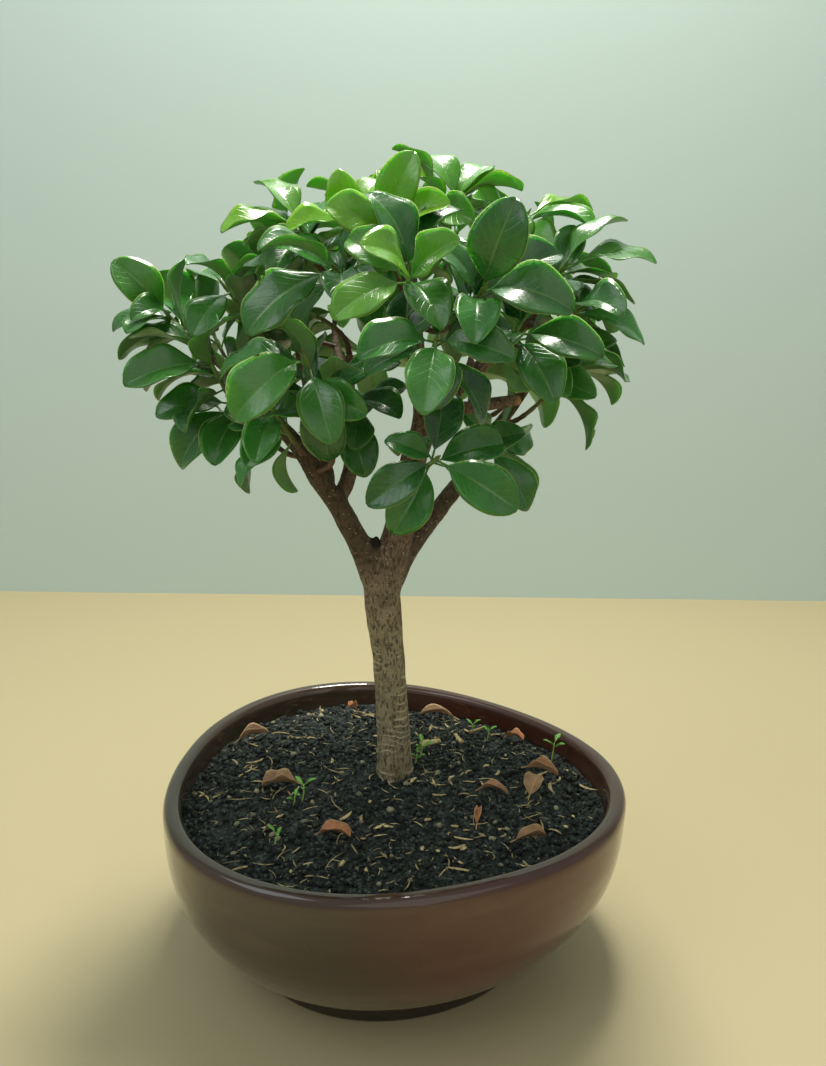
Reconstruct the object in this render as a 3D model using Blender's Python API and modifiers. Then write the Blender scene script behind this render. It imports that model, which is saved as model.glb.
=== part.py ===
"""Bonsai fig tree growing in a glazed bowl.

Metres, +Z up. The origin is the middle of the pot's flat foot; +X is to the right and
-Y to the front. Every piece is one closed body: the bowl, the soil that fills it, the
tree with its trunk and limbs, forty leafy shoots, and the leaves, chips, twig and weed
sprouts that lie or grow on the soil. The pot is a turned bowl pressed to a rounded
triangle. The foliage is grown from a table of shoots: each has the limb that carries
it, the place of its tip, and the leaves that were set by hand around that tip.
"""

import math
import random

import bmesh
import bpy
import numpy as np
from mathutils.bvhtree import BVHTree

GAP = 0.0003  # left between two pieces that touch

# ---- pot: heights, and radii as shares of the plan radius
POT_HEIGHT = 0.090
POT_RADIUS = 0.1148  # mean radius of the rim
POT_OVAL, POT_OVAL_TURN = 0.0030, -31  # second wave of the plan and where it peaks
POT_TRIANGLE, POT_TRIANGLE_TURN = 0.0053, -8  # third wave: the rounded triangle
FOOT_ROUND = 0.5  # share of the waves that is left at the foot
FOOT_HEIGHT, FOOT_SHARE = 0.0085, 0.655
BELLY_SHARE = 0.670  # where the bowl leaves the foot
BOWL_ROUND = 2.8  # how soon the wall turns upright: 1 is a cone
LIP_HEIGHT = 0.0062  # the rounded part of the rim
WALL = 0.0088
FLOOR, CORNER = 0.010, 0.006  # the floor's thickness, and the rounding where it meets the wall
POT_STEPS = 40
DRAIN_RADIUS, DRAIN_RING = 0.005, 0.034

# ---- soil
SOIL_EDGE, SOIL_MIDDLE = 0.0765, 0.0815  # height at the wall and at the trunk
SOIL_RINGS = 8
SOIL_ROUGH = 0.0009
MOUND_POWER = 1.6  # how flat the mound is in its middle

# ---- tree: each limb is a list of points and radii (x, y, z, radius) from base to tip
LIMBS = {
    "trunk": [(0.0040, 0.0100, 0.060, 0.0096), (0.0040, 0.0100, 0.083, 0.0093),
              (0.0020, 0.0090, 0.123, 0.0085), (0.0000, 0.0080, 0.151, 0.0084),
              (-0.0030, 0.0070, 0.178, 0.0094), (-0.0024, 0.0065, 0.192, 0.0093),
              (0.0035, 0.0060, 0.209, 0.0078), (0.0080, 0.0040, 0.228, 0.0071),
              (0.0120, 0.0020, 0.251, 0.0066), (0.0170, 0.0000, 0.271, 0.0060),
              (0.0130, 0.0000, 0.298, 0.0046), (0.0100, 0.0010, 0.326, 0.0034),
              (0.0060, 0.0050, 0.346, 0.0024)],
    "left": [(-0.0030, 0.0065, 0.180, 0.0078), (-0.0090, 0.0045, 0.197, 0.0070),
             (-0.0155, 0.0020, 0.211, 0.0059), (-0.0240, -0.0040, 0.228, 0.0054),
             (-0.0330, -0.0100, 0.243, 0.0048), (-0.0410, -0.0140, 0.257, 0.0042),
             (-0.0540, -0.0170, 0.272, 0.0034), (-0.0660, -0.0160, 0.284, 0.0026)],
    "left_upright": [(-0.0250, -0.004, 0.230, 0.0040), (-0.0205, 0.005, 0.240, 0.0038),
                     (-0.0190, 0.010, 0.250, 0.0036), (-0.0200, 0.014, 0.276, 0.0030),
                     (-0.0200, 0.014, 0.300, 0.0022)],
    "left_inner": [(-0.0290, -0.007, 0.236, 0.0034), (-0.0300, 0.000, 0.245, 0.0031),
                   (-0.0370, 0.012, 0.270, 0.0027), (-0.0460, 0.024, 0.302, 0.0021)],
    "right": [(0.0000, 0.009, 0.184, 0.0064), (0.0100, 0.014, 0.203, 0.0052),
              (0.0260, 0.026, 0.223, 0.0046), (0.0420, 0.036, 0.242, 0.0043),
              (0.0540, 0.043, 0.260, 0.0038), (0.0690, 0.046, 0.281, 0.0030),
              (0.0790, 0.045, 0.298, 0.0023)],
    "cut_branch": [(0.0170, 0.000, 0.270, 0.0040), (0.0240, -0.007, 0.275, 0.0034),
                   (0.0410, -0.014, 0.278, 0.0029), (0.0590, -0.020, 0.2815, 0.0027)],
    "front": [(0.0160, 0.000, 0.280, 0.0042), (0.0130, -0.009, 0.296, 0.0034),
              (0.0110, -0.021, 0.316, 0.0027), (0.0110, -0.034, 0.327, 0.0020)],
    "right_upper": [(0.0170, 0.000, 0.272, 0.0046), (0.0370, 0.001, 0.290, 0.0036),
                    (0.0590, 0.000, 0.311, 0.0029), (0.0780, -0.004, 0.326, 0.0022)],
    "left_upper": [(0.0130, 0.000, 0.300, 0.0036), (-0.0070, -0.003, 0.317, 0.0028),
                   (-0.0280, -0.006, 0.335, 0.0021)],
    "back_middle": [(0.0150, 0.001, 0.286, 0.0036), (0.0130, 0.024, 0.304, 0.0028),
                    (0.0100, 0.047, 0.322, 0.0021)],
    "back_left": [(-0.0200, 0.013, 0.268, 0.0032), (-0.0250, 0.034, 0.290, 0.0027),
                  (-0.0310, 0.056, 0.311, 0.0020)],
    "back_right": [(0.0420, 0.036, 0.242, 0.0038), (0.0440, 0.052, 0.268, 0.0031),
                   (0.0430, 0.066, 0.298, 0.0022)],
    "bud_scar": [(-0.0040, 0.004, 0.196, 0.0050), (-0.0062, 0.002, 0.206, 0.0030),
                 (-0.0070, 0.001, 0.212, 0.0018)],
}
LIMB_SPANS = 2  # smooth steps between two listed points
LIMB_ROUND, STEM_ROUND = 2, 0  # bevel resolutions: eight sides, and four
STEM_RADIUS = 0.0012
STEM_POINTS = 5

# ---- foliage. A leaf row is (clock, lean, reach, face): the clock angle as seen from
# the front (0 right, 90 up), the lean towards the front in degrees, the length from the
# shoot's tip to the leaf's tip, and how far the upper side turns from up (0) to the
# front (1). A shoot is (limb, share of the limb's length, tip, leaf rows).
SHOOTS = {
    "left_tip": ("left", 1.0, (-0.102, -0.005, 0.317),
                 [(134, 20, 0.036, 0.85), (150, 58, 0.034, 0.4), (-176, 20, 0.034, 0.0),
                  (-152, 62, 0.034, 0.3)]),
    "left_low": ("left", 0.863, (-0.082, -0.015, 0.298),
                 [(174, 8, 0.038, 0.1), (-161, 28, 0.042, 0.75), (-156, -12, 0.038, 0.3),
                  (62, 50, 0.036, 0.6)]),
    "left_high": ("left", 0.829, (-0.077, 0.005, 0.330),
                  [(166, -50, 0.036, 0.2), (-116, 45, 0.038, 0.7), (150, 55, 0.034, 0.3),
                   (30, 35, 0.036, 0.4)]),
    "left_under": ("left", 0.794, (-0.073, -0.005, 0.277),
                   [(-168, 15, 0.038, 0.6), (-130, 5, 0.043, 0.6), (-105, 32, 0.036, 0.7),
                    (151, 48, 0.036, 0.6)]),
    "left_drop": ("left", 0.709, (-0.049, -0.036, 0.275),
                  [(-102, 50, 0.034, 0.8), (5, 60, 0.034, 0.8), (-150, 55, 0.034, 0.7)]),
    "front_left": ("left", 0.614, (-0.032, -0.060, 0.298),
                   [(-136, 20, 0.043, 0.85), (-166, -8, 0.040, 0.35), (-70, 28, 0.037, 0.9),
                    (-82, -12, 0.040, 0.7), (160, 40, 0.036, 0.4), (-20, 35, 0.036, 0.8)]),
    "upper_left": ("left_upper", 0.75, (-0.021, -0.050, 0.334),
                   [(-140, 10, 0.047, 0.6), (176, 35, 0.038, 0.2), (-118, -22, 0.038, 0.5),
                    (-74, 55, 0.036, 0.7), (-35, 30, 0.036, 0.7)]),
    "top_left": ("left_upper", 1.0, (-0.039, -0.020, 0.355),
                 [(-165, 28, 0.037, 0.3), (140, -28, 0.036, 0.1), (174, -12, 0.038, 0.2),
                  (146, 52, 0.034, 0.5), (-118, 50, 0.036, 0.5)]),
    "top_middle_left": ("left_upper", 0.55, (-0.019, -0.018, 0.356),
                        [(98, 40, 0.030, 0.85), (158, 48, 0.036, 0.7), (60, -30, 0.032, 0.3)]),
    "top_centre": ("front", 0.86, (-0.001, -0.040, 0.350),
                   [(67, 18, 0.034, 0.85), (30, 45, 0.037, 0.8), (147, 35, 0.035, 0.8),
                    (-95, 55, 0.034, 0.6)]),
    "front_upper": ("front", 1.0, (0.008, -0.075, 0.326),
                    [(154, 52, 0.036, 0.8), (32, 45, 0.034, 0.85), (-149, 25, 0.037, 0.7),
                     (-60, 50, 0.036, 0.7)]),
    "front_bud": ("front", 0.66, (0.036, -0.080, 0.324),
                  [(71, 22, 0.038, 0.9), (-16, 20, 0.041, 0.85), (-147, 20, 0.034, 0.8),
                   (-97, 52, 0.034, 0.8), (141, 25, 0.034, 0.6), (27, -8, 0.040, 0.6)]),
    "top_right": ("trunk", 1.0, (0.029, -0.010, 0.366),
                  [(124, -30, 0.032, 0.2), (44, -35, 0.034, 0.2), (11, -18, 0.039, 0.15),
                   (158, 50, 0.034, 0.5), (-8, 50, 0.036, 0.7)]),
    "right_top": ("right_upper", 0.55, (0.061, 0.000, 0.362),
                  [(3, -18, 0.036, 0.1), (-14, 25, 0.036, 0.3), (150, 30, 0.034, 0.4),
                   (-60, 45, 0.034, 0.6)]),
    "right_shoulder": ("right_upper", 0.90, (0.074, -0.030, 0.337),
                       [(32, -12, 0.038, 0.1), (0, 15, 0.042, 0.3), (-6, -38, 0.036, 0.2),
                        (165, 40, 0.036, 0.6)]),
    "right_middle": ("right_upper", 0.78, (0.079, -0.035, 0.319),
                     [(-20, 60, 0.036, 0.8), (4, -45, 0.036, 0.3), (-24, 5, 0.038, 0.4)]),
    "right_front": ("right_upper", 0.42, (0.053, -0.060, 0.309),
                    [(-18, 24, 0.038, 0.9), (-148, 48, 0.036, 0.7), (-62, 30, 0.036, 0.8),
                     (30, 45, 0.034, 0.7)]),
    "right_low": ("right_upper", 0.62, (0.071, -0.020, 0.290),
                  [(28, 5, 0.037, 0.5), (5, -22, 0.040, 0.4), (-33, 18, 0.037, 0.6),
                   (-62, 35, 0.036, 0.6), (-8, 60, 0.034, 0.8)]),
    "front_centre": ("front", 0.48, (0.019, -0.090, 0.306),
                     [(-100, 38, 0.036, 0.95), (-10, 30, 0.034, 0.8), (-160, 20, 0.034, 0.7)]),
    "low_front": ("trunk", 0.667, (0.021, -0.060, 0.259),
                  [(-146, 12, 0.036, 0.95), (-31, 10, 0.041, 0.95), (160, 20, 0.026, 0.8)]),
    "low_right": ("right", 0.62, (0.047, 0.010, 0.256),
                  [(24, 38, 0.030, 0.9), (-57, 5, 0.040, 0.5), (130, 35, 0.030, 0.8)]),
    "inner_left": ("left_upright", 0.60, (-0.017, -0.020, 0.278),
                   [(-131, 48, 0.036, 0.8), (-22, 50, 0.036, 0.8), (-175, 35, 0.036, 0.7),
                    (-80, 20, 0.034, 0.8)]),
    # The rest of the crown: its leaves follow the rule in rule_leaves alone.
    "back_top_left": ("left_inner", 1.0, (-0.050, 0.025, 0.350), []),
    "back_top_middle": ("trunk", 0.94, (-0.012, 0.030, 0.362), []),
    "back_top_right": ("back_middle", 0.80, (0.032, 0.036, 0.360), []),
    "back_top_far_right": ("right", 1.0, (0.072, 0.036, 0.343), []),
    "back_far_left": ("left_inner", 0.70, (-0.092, 0.032, 0.313), []),
    "back_left_outer": ("back_left", 0.85, (-0.066, 0.055, 0.328), []),
    "back_left_inner": ("back_left", 1.0, (-0.027, 0.072, 0.334), []),
    "back_middle_high": ("back_middle", 1.0, (0.018, 0.077, 0.336), []),
    "back_right_high": ("back_right", 1.0, (0.060, 0.068, 0.330), []),
    "back_far_right": ("right", 0.86, (0.094, 0.026, 0.320), []),
    "low_back_far_left": ("left_inner", 0.45, (-0.080, 0.030, 0.294), []),
    "low_back_left": ("back_left", 0.55, (-0.055, 0.060, 0.298), []),
    "low_back_middle": ("back_left", 0.72, (-0.010, 0.076, 0.300), []),
    "low_back_right": ("back_right", 0.80, (0.034, 0.086, 0.298), []),
    "low_back_outer_right": ("back_right", 0.50, (0.072, 0.068, 0.298), []),
    "low_far_right": ("right", 0.72, (0.091, 0.022, 0.296), []),
    "middle_left": ("left_upright", 1.0, (-0.046, 0.002, 0.322), []),
    "middle_right": ("right_upper", 0.60, (0.046, -0.026, 0.338), []),
}
CROWN_CENTRE = (-0.005, 0.0, 0.300)
CROWN_LIFT = 0.03  # how far rule leaves turn up from the way out of that centre
OPENED, OPENS = 48, 48  # degrees a rule leaf leans off the stem at the tip, and more below
RULE_LEAVES, FILLER_LEAVES = 7, 5  # rule leaves on a shoot without rows, and on one with
RULE_REACH = (0.033, 0.041)
GOLDEN_ANGLE = 137.5
INTERNODE = 0.0022  # between two leaves along the stem
LEAF_WIDE = 0.60  # blade width as a share of its length
LEAF_WIDE_RANGE = (-0.05, 0.06)
LEAF_ARCH, LEAF_FOLD = (38, 84), (8, 22)  # least and most, in degrees
OUTLINE_SKEW, OUTLINE_POWER = 0.92, 0.75  # of the sine that gives a blade's width
FACE_UP = 0.80  # share of a row's face that is kept, so that blades lie flatter
LEAF_THICK = 0.0010
LEAF_PETIOLE = 0.15  # share of the reach that is stalk
PETIOLE_HALF = 0.00055
BLADE_STATIONS = (0.24, 0.70)  # sections of the finished leaf
TEST_STATIONS = (0.05, 0.30, 0.55, 0.80, 0.94)  # sections of the leaf that tests for room
CLEAR = 0.0016  # extra thickness of that leaf
WOOD_CLEAR = 0.0022  # least way from a blade to a stem or limb
WOOD_STEP = 0.0015
LENGTH_CLEAR, WIDTH_CLEAR = 1.03, 1.06  # how much larger the leaf that tests for room is
NEAR = 0.05  # leaves whose middles are closer than this are tested against each other
LEAF_TRIES = 70
TURN_STEP, SHORTEN = 0.9, 0.004  # degrees turned and share of the length lost at each try

# ---- litter: (x, y, turn, reach, wide, arch, fold, tilt); angles in degrees
FALLEN_LEAVES = [
    (-0.023, -0.053, -12, 0.019, 0.52, 75, 25, 0),
    (-0.054, -0.008, 192, 0.022, 0.60, 45, 40, 0),
    (-0.080, 0.050, 12, 0.021, 0.42, 60, 45, 8),
    (-0.024, 0.082, 250, 0.017, 0.40, 70, 50, 30),
    (0.045, -0.037, 80, 0.014, 0.42, 60, 45, 12),
    (0.055, -0.014, -24, 0.019, 0.34, 84, 40, 0),
    (0.076, -0.009, 62, 0.016, 0.80, 30, 15, 24),
    (0.083, 0.012, -32, 0.022, 0.42, 50, 58, 0),
    (0.074, 0.052, -44, 0.016, 0.48, 70, 40, 8),
    (0.030, 0.084, 175, 0.026, 0.35, 60, 45, 0),
    (0.068, -0.050, 14, 0.018, 0.52, 40, 40, 0),
]
WOOD_CHIPS = [  # x, y, turn, (length, width, thickness)
    (0.024, 0.042, 25, (0.012, 0.0055, 0.0028)),
    (0.041, 0.050, 110, (0.010, 0.0040, 0.0024)),
]
TWIG = [(0.048, 0.060), (0.058, 0.068)]
TWIG_RADIUS = 0.0011
SPROUTS = [(-0.042, -0.020, 0.009), (0.092, 0.030, 0.012), (0.018, 0.026, 0.008)]
SPROUT_RADII = (0.0011, 0.0009)
SPROUT_LEAVES = 3
SPROUT_LEAF = (0.0075, 0.45, 30, 10)    # length, width share, arch and fold in degrees
SPROUT_SPACING = 0.0011

GLAZE, SOIL, BARK = "#5A4338", "#353A34", "#6E6148"
LEAF, YOUNG_LEAF, STEM, DRY_LEAF = "#3D6B38", "#6C9C3C", "#6B5A40", "#A87C58"
YOUNG_SHOOTS = ("top_left", "top_middle_left", "top_centre", "front_upper", "top_right",
                "right_top", "back_top_left", "back_top_middle", "back_top_right")


def linear(hex_colour):
    """The linear RGBA value of an sRGB hex colour."""
    parts = [int(hex_colour[i:i + 2], 16) / 255 for i in (1, 3, 5)]
    return [p / 12.92 if p <= 0.04045 else ((p + 0.055) / 1.055) ** 2.4 for p in parts] + [1]


def material(name, hex_colour, roughness, coat=0.0):
    made = bpy.data.materials.new(name)
    made.use_nodes = True
    shader = made.node_tree.nodes["Principled BSDF"]
    shader.inputs["Base Color"].default_value = linear(hex_colour)
    shader.inputs["Roughness"].default_value = roughness
    shader.inputs["Coat Weight"].default_value = coat
    return made


def unit(vector):
    return vector / np.linalg.norm(vector)


def add_mesh(name, points, faces, collection):
    mesh = bpy.data.meshes.new(name)
    mesh.from_pydata([tuple(p) for p in points], [], faces)
    made = bpy.data.objects.new(name, mesh)
    collection.objects.link(made)
    return made


def smooth_path(points, spans):
    """Catmull-Rom curve through the rows, which may carry a radius as a fourth number."""
    rows = np.array(points, float)
    rows = np.vstack([2 * rows[0] - rows[1], rows, 2 * rows[-1] - rows[-2]])
    t = (np.arange(spans) / spans)[:, None]
    made = []
    for a, b, c, d in zip(rows, rows[1:], rows[2:], rows[3:]):
        made.append(b + t * (c - a) / 2 + t**2 * (2 * a - 5 * b + 4 * c - d) / 2
                    + t**3 * (3 * b - a - 3 * c + d) / 2)
    return np.vstack(made + [rows[-2:-1]])


def tube(name, path, bevel_resolution, collection):
    """A bevelled curve along the path (x, y, z, radius), made a mesh with welded caps."""
    curve = bpy.data.curves.new(name, "CURVE")
    curve.dimensions = "3D"
    curve.bevel_depth = 1.0
    curve.bevel_resolution = bevel_resolution
    curve.use_fill_caps = True
    spline = curve.splines.new("POLY")
    spline.points.add(len(path) - 1)
    for point, (x, y, z, radius) in zip(spline.points, path):
        point.co = (x, y, z, 1)
        point.radius = radius
    guide = bpy.data.objects.new(name + "_curve", curve)
    collection.objects.link(guide)
    graph = bpy.context.evaluated_depsgraph_get()
    mesh = bpy.data.meshes.new_from_object(guide.evaluated_get(graph))
    mesh.name = name
    welded = bmesh.new()
    welded.from_mesh(mesh)
    bmesh.ops.remove_doubles(welded, verts=welded.verts, dist=1e-6)
    welded.to_mesh(mesh)
    welded.free()
    made = bpy.data.objects.new(name, mesh)
    made.matrix_world = guide.matrix_world
    collection.objects.link(made)
    bpy.data.objects.remove(guide)
    return made


def as_helper(piece, collection):
    """Takes the piece out of the model: it only cuts or joins another."""
    for owner in list(piece.users_collection):
        owner.objects.unlink(piece)
    collection.objects.link(piece)
    piece.hide_render = True
    piece.display_type = "WIRE"


def boolean(piece, operation, other):
    step = piece.modifiers.new(operation.title(), "BOOLEAN")
    step.operation = operation
    step.solver = "EXACT"
    step.object = other


# ---------------------------------------------------------------- pot and soil


def pressed(angle, height):
    """How far the plan departs from a circle: two waves, which fade towards the foot."""
    waves = (POT_OVAL * np.cos(2 * (angle - math.radians(POT_OVAL_TURN)))
             + POT_TRIANGLE * np.cos(3 * (angle - math.radians(POT_TRIANGLE_TURN))))
    return 1 + waves / POT_RADIUS * (FOOT_ROUND + (1 - FOOT_ROUND) * height / POT_HEIGHT)


def bowl_share(height, start):
    """The wall's radius as a share of the rim's: it slants out from start and turns upright."""
    t = np.clip((height - FOOT_HEIGHT) / (POT_HEIGHT - LIP_HEIGHT - FOOT_HEIGHT), 0, 1)
    return start + (1 - start) * (1 - (1 - t) ** BOWL_ROUND)


def turned(name, profile, steps, collection):
    """Turns a profile of (share of the plan radius, height), and presses it to the plan."""
    mesh = bpy.data.meshes.new(name)
    mesh.from_pydata([(share * POT_RADIUS, 0, z) for share, z in profile], [],
                     [(i, i + 1) for i in range(len(profile) - 1)])
    guide = bpy.data.objects.new(name + "_profile", mesh)
    collection.objects.link(guide)
    screw = guide.modifiers.new("Screw", "SCREW")
    screw.steps = screw.render_steps = steps
    screw.use_merge_vertices = True
    screw.merge_threshold = 1e-5
    graph = bpy.context.evaluated_depsgraph_get()
    solid = bpy.data.meshes.new_from_object(guide.evaluated_get(graph))
    solid.name = name
    bpy.data.objects.remove(guide)
    points = np.empty(len(solid.vertices) * 3)
    solid.vertices.foreach_get("co", points)
    points = points.reshape(-1, 3)
    points[:, :2] *= pressed(np.arctan2(points[:, 1], points[:, 0]), points[:, 2])[:, None]
    solid.vertices.foreach_set("co", points.reshape(-1))
    made = bpy.data.objects.new(name, solid)
    collection.objects.link(made)
    return made


def inner_share(height):
    """The inner wall's radius as a share of the rim's."""
    return bowl_share(height, BELLY_SHARE) - WALL / POT_RADIUS


def inner_wall(clearance=0.0):
    """The inner wall from the soil line to the floor's middle, or a skin a clearance inside it."""
    away = clearance / POT_RADIUS
    points = [(inner_share(z) - away, z) for z in np.linspace(SOIL_EDGE, FLOOR + CORNER, 7)]
    corner = inner_share(FLOOR + CORNER) - CORNER / POT_RADIUS
    return points + [(corner - away, FLOOR + clearance), (0, FLOOR + clearance)]


def make_pot(collection, helpers):
    lip_bottom = POT_HEIGHT - LIP_HEIGHT
    wall_share = WALL / POT_RADIUS
    lip_middle = 1 - wall_share / 2
    profile = [(lip_middle + wall_share / 2 * math.cos(a), lip_bottom + LIP_HEIGHT * math.sin(a))
               for a in np.radians([90, 60, 30])]
    profile += [(bowl_share(z, BELLY_SHARE), z)
                for z in np.linspace(lip_bottom, FOOT_HEIGHT + 0.0008, 9)]
    profile += [(FOOT_SHARE, FOOT_HEIGHT), (FOOT_SHARE, 0.0008), (FOOT_SHARE - 0.008, 0), (0, 0)]
    inside = [(lip_middle - wall_share / 2 * math.cos(a), lip_bottom + LIP_HEIGHT * math.sin(a))
              for a in np.radians([60, 30])]
    inside += [(inner_share(lip_bottom), lip_bottom)] + inner_wall()
    pot = turned("pot", inside[::-1] + profile, POT_STEPS, collection)
    for i in range(3):
        angle = math.radians(120 * i + 30)
        bpy.ops.mesh.primitive_cylinder_add(
            vertices=14, radius=DRAIN_RADIUS, depth=0.04,
            location=(DRAIN_RING * math.cos(angle), DRAIN_RING * math.sin(angle), FLOOR / 2))
        drill = bpy.context.object
        drill.name = f"drain_drill_{i + 1}"
        as_helper(drill, helpers)
        boolean(pot, "DIFFERENCE", drill)
    return pot


def make_soil(collection, helpers):
    """Fills the bowl to a low mound, leaving a socket for the buried foot of the trunk."""
    side = inner_wall(1.5 * GAP)
    top = [(side[0][0] * s, SOIL_EDGE + (SOIL_MIDDLE - SOIL_EDGE) * (1 - s**MOUND_POWER))
           for s in np.arange(SOIL_RINGS) / SOIL_RINGS]
    soil = turned("soil", top + side, POT_STEPS, collection)
    dice = random.Random(7)
    for vertex in soil.data.vertices:
        if vertex.co.z > SOIL_EDGE + 0.0002:
            vertex.co.z += dice.uniform(-SOIL_ROUGH, SOIL_ROUGH)
    path = limb_paths()["trunk"]
    path[:, 3] += 1.15 * GAP
    path[0, 2] -= GAP
    socket = tube("trunk_socket", path, LIMB_ROUND + 1, helpers)
    as_helper(socket, helpers)
    boolean(soil, "DIFFERENCE", socket)
    return soil


# ---------------------------------------------------------------- leaves and shoots


def stalk_end(shape):
    """Where a leaf's stalk meets its blade."""
    base, run, top, reach, _, arch, _ = shape
    half = math.radians(arch / 2)
    return base + (run * math.cos(half) + top * math.sin(half)) * reach * LEAF_PETIOLE


def leaf_points(shape, u, v, lift=0.0):
    """Points of a leaf, u along its blade from 0 to 1 and v across it from -1 to 1.

    The midline is an arc whose chord lies along run: it leaves the stalk turned towards top
    by half of arch degrees, and ends turned away by the other half. Both halves of the
    blade rise from it by fold degrees, and their width follows the sine of the way along
    the blade. Lift moves a point off the surface.
    """
    base, run, top, reach, wide, arch, fold = shape
    blade, bend, tilt = reach * (1 - LEAF_PETIOLE), math.radians(arch), math.radians(fold)
    u, v, lift = (np.asarray(x, float)[..., None] for x in (u, v, lift))
    angle, start = bend * (u - 0.5), -bend / 2
    half = blade * wide / 2 * np.sin(math.pi * u**OUTLINE_SKEW) ** OUTLINE_POWER
    normal = top * np.cos(angle) + run * np.sin(angle)
    return (stalk_end(shape) + run * blade * (np.sin(angle) - math.sin(start)) / bend
            + top * blade * (np.cos(angle) - math.cos(start)) / bend
            + np.cross(run, top) * v * half * math.cos(tilt)
            + normal * (np.abs(v) * half * math.sin(tilt) + lift))


def leaf_solid(shape, stations=BLADE_STATIONS, thick=LEAF_THICK):
    """Points and faces of a closed leaf: sections of two edges and two ridges, and a tip."""
    base, run, top = shape[:3]
    ring = np.array([np.cross(run, top), top, -np.cross(run, top), -top]) * PETIOLE_HALF
    blade = leaf_points(shape, np.array(stations)[:, None], np.array([1, 0, -1, 0]),
                        np.array([0, thick / 2, 0, -thick / 2]))
    tip = leaf_points(shape, 1.0, 0.0)
    points = np.vstack([base + ring, stalk_end(shape) + ring, blade.reshape(-1, 3), tip])
    last = 4 * (len(stations) + 1)
    faces = [(0, 1, 2, 3)]
    faces += [(a, a + 4, b + 4, b) for r in range(0, last, 4)
              for a, b in ((r + k, r + (k + 1) % 4) for k in range(4))]
    faces += [(last + (k + 1) % 4, last + k, last + 4) for k in range(4)]
    return points, faces


def row_leaf(clock, lean, face):
    """The direction of a leaf set by its row, and that of its upper side."""
    c, s = math.radians(clock), math.radians(lean)
    face = face * FACE_UP
    run = np.array([math.cos(s) * math.cos(c), -math.sin(s), math.cos(s) * math.sin(c)])
    facing = np.array([0, -face - 0.15, 1.1 - face])
    return run, unit(facing - run * (facing @ run))


def rule_leaves(tip, count, turn, away):
    """Leaves around a shoot that follow the golden angle and open wider further down."""
    axis = unit(np.array(tip) - CROWN_CENTRE + (0, 0, CROWN_LIFT))
    across = unit(np.cross(axis, (0.3, 0.2, 1)))
    level = np.cross(axis, across)
    made = []
    for i in range(count):
        spin = math.radians(turn + GOLDEN_ANGLE * i)
        opened = math.radians(OPENED + OPENS * i / count)
        out = across * math.cos(spin) + level * math.sin(spin)
        run = axis * math.cos(opened) + out * math.sin(opened)
        if away and i % 2 == 0:
            run[1] = abs(run[1])
        facing = axis + (0, 0, 0.8)
        made.append((unit(run), unit(facing - run * (facing @ run))))
    return made


def jittered(run, top, dice, spread):
    """The leaf turned a little at random, by up to about spread degrees."""
    amount = math.radians(spread)
    nudge = np.array([dice.uniform(-amount, amount) for _ in range(6)])
    run = unit(run + nudge[:3])
    top = top + nudge[3:]
    return run, unit(top - run * (top @ run))


def limb_paths():
    return {name: smooth_path(points, LIMB_SPANS) for name, points in LIMBS.items()}


def stem_path(limb, share, tip):
    """A stem from the limb's skin to the tip: it leaves the limb square and bends over."""
    place = share * (len(limb) - 1)
    low = min(int(place), len(limb) - 2)
    here = limb[low] + (limb[low + 1] - limb[low]) * (place - low)
    along = unit(limb[low + 1, :3] - limb[low, :3])
    tip = np.array(tip)
    if share < 1:
        away = tip - here[:3]
        along = unit(away - along * (away @ along))
        start = here[:3] + along * (here[3] + GAP)
    else:
        start = here[:3] + along * GAP
    bend = start + along * np.linalg.norm(tip - start) * 0.4
    t = np.linspace(0, 1, STEM_POINTS)[:, None]
    return start * (1 - t) ** 2 + bend * 2 * t * (1 - t) + tip * t**2


def resample(path, step):
    """Points along a polyline no further apart than step."""
    made = []
    for a, b in zip(path, path[1:]):
        count = max(1, math.ceil(np.linalg.norm(b[:3] - a[:3]) / step))
        made += [a + (b - a) * k / count for k in range(count)]
    return np.array(made + [path[-1]])


def wanted_leaves(stems):
    """Every leaf that the shoots ask for: (shoot, seed, base, run, top, reach).

    The hand-set ones come first, then those that follow the rule, and last the fillers.
    """
    rows, rest, fillers = [], [], []
    for number, (name, (_, _, tip, leaves)) in enumerate(SHOOTS.items()):
        stem = resample(stems[name], INTERNODE)
        for i, (clock, lean, reach, face) in enumerate(leaves):
            run, top = row_leaf(clock, lean, face)
            rows.append((name, 100 * number + i, stem[-1 - i], run, top, reach))
        count = FILLER_LEAVES if leaves else RULE_LEAVES
        dice = random.Random(number)
        for i, (run, top) in enumerate(rule_leaves(tip, count, 77 * number, bool(leaves))):
            base = stem[max(0, len(stem) - 1 - len(leaves) - i)]
            group = fillers if leaves else rest
            group.append((name, 100 * number + 50 + i, base, run, top, dice.uniform(*RULE_REACH)))
    return rows + rest + fillers


def tree_of(points, faces):
    return BVHTree.FromPolygons([tuple(p) for p in points], faces)


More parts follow.
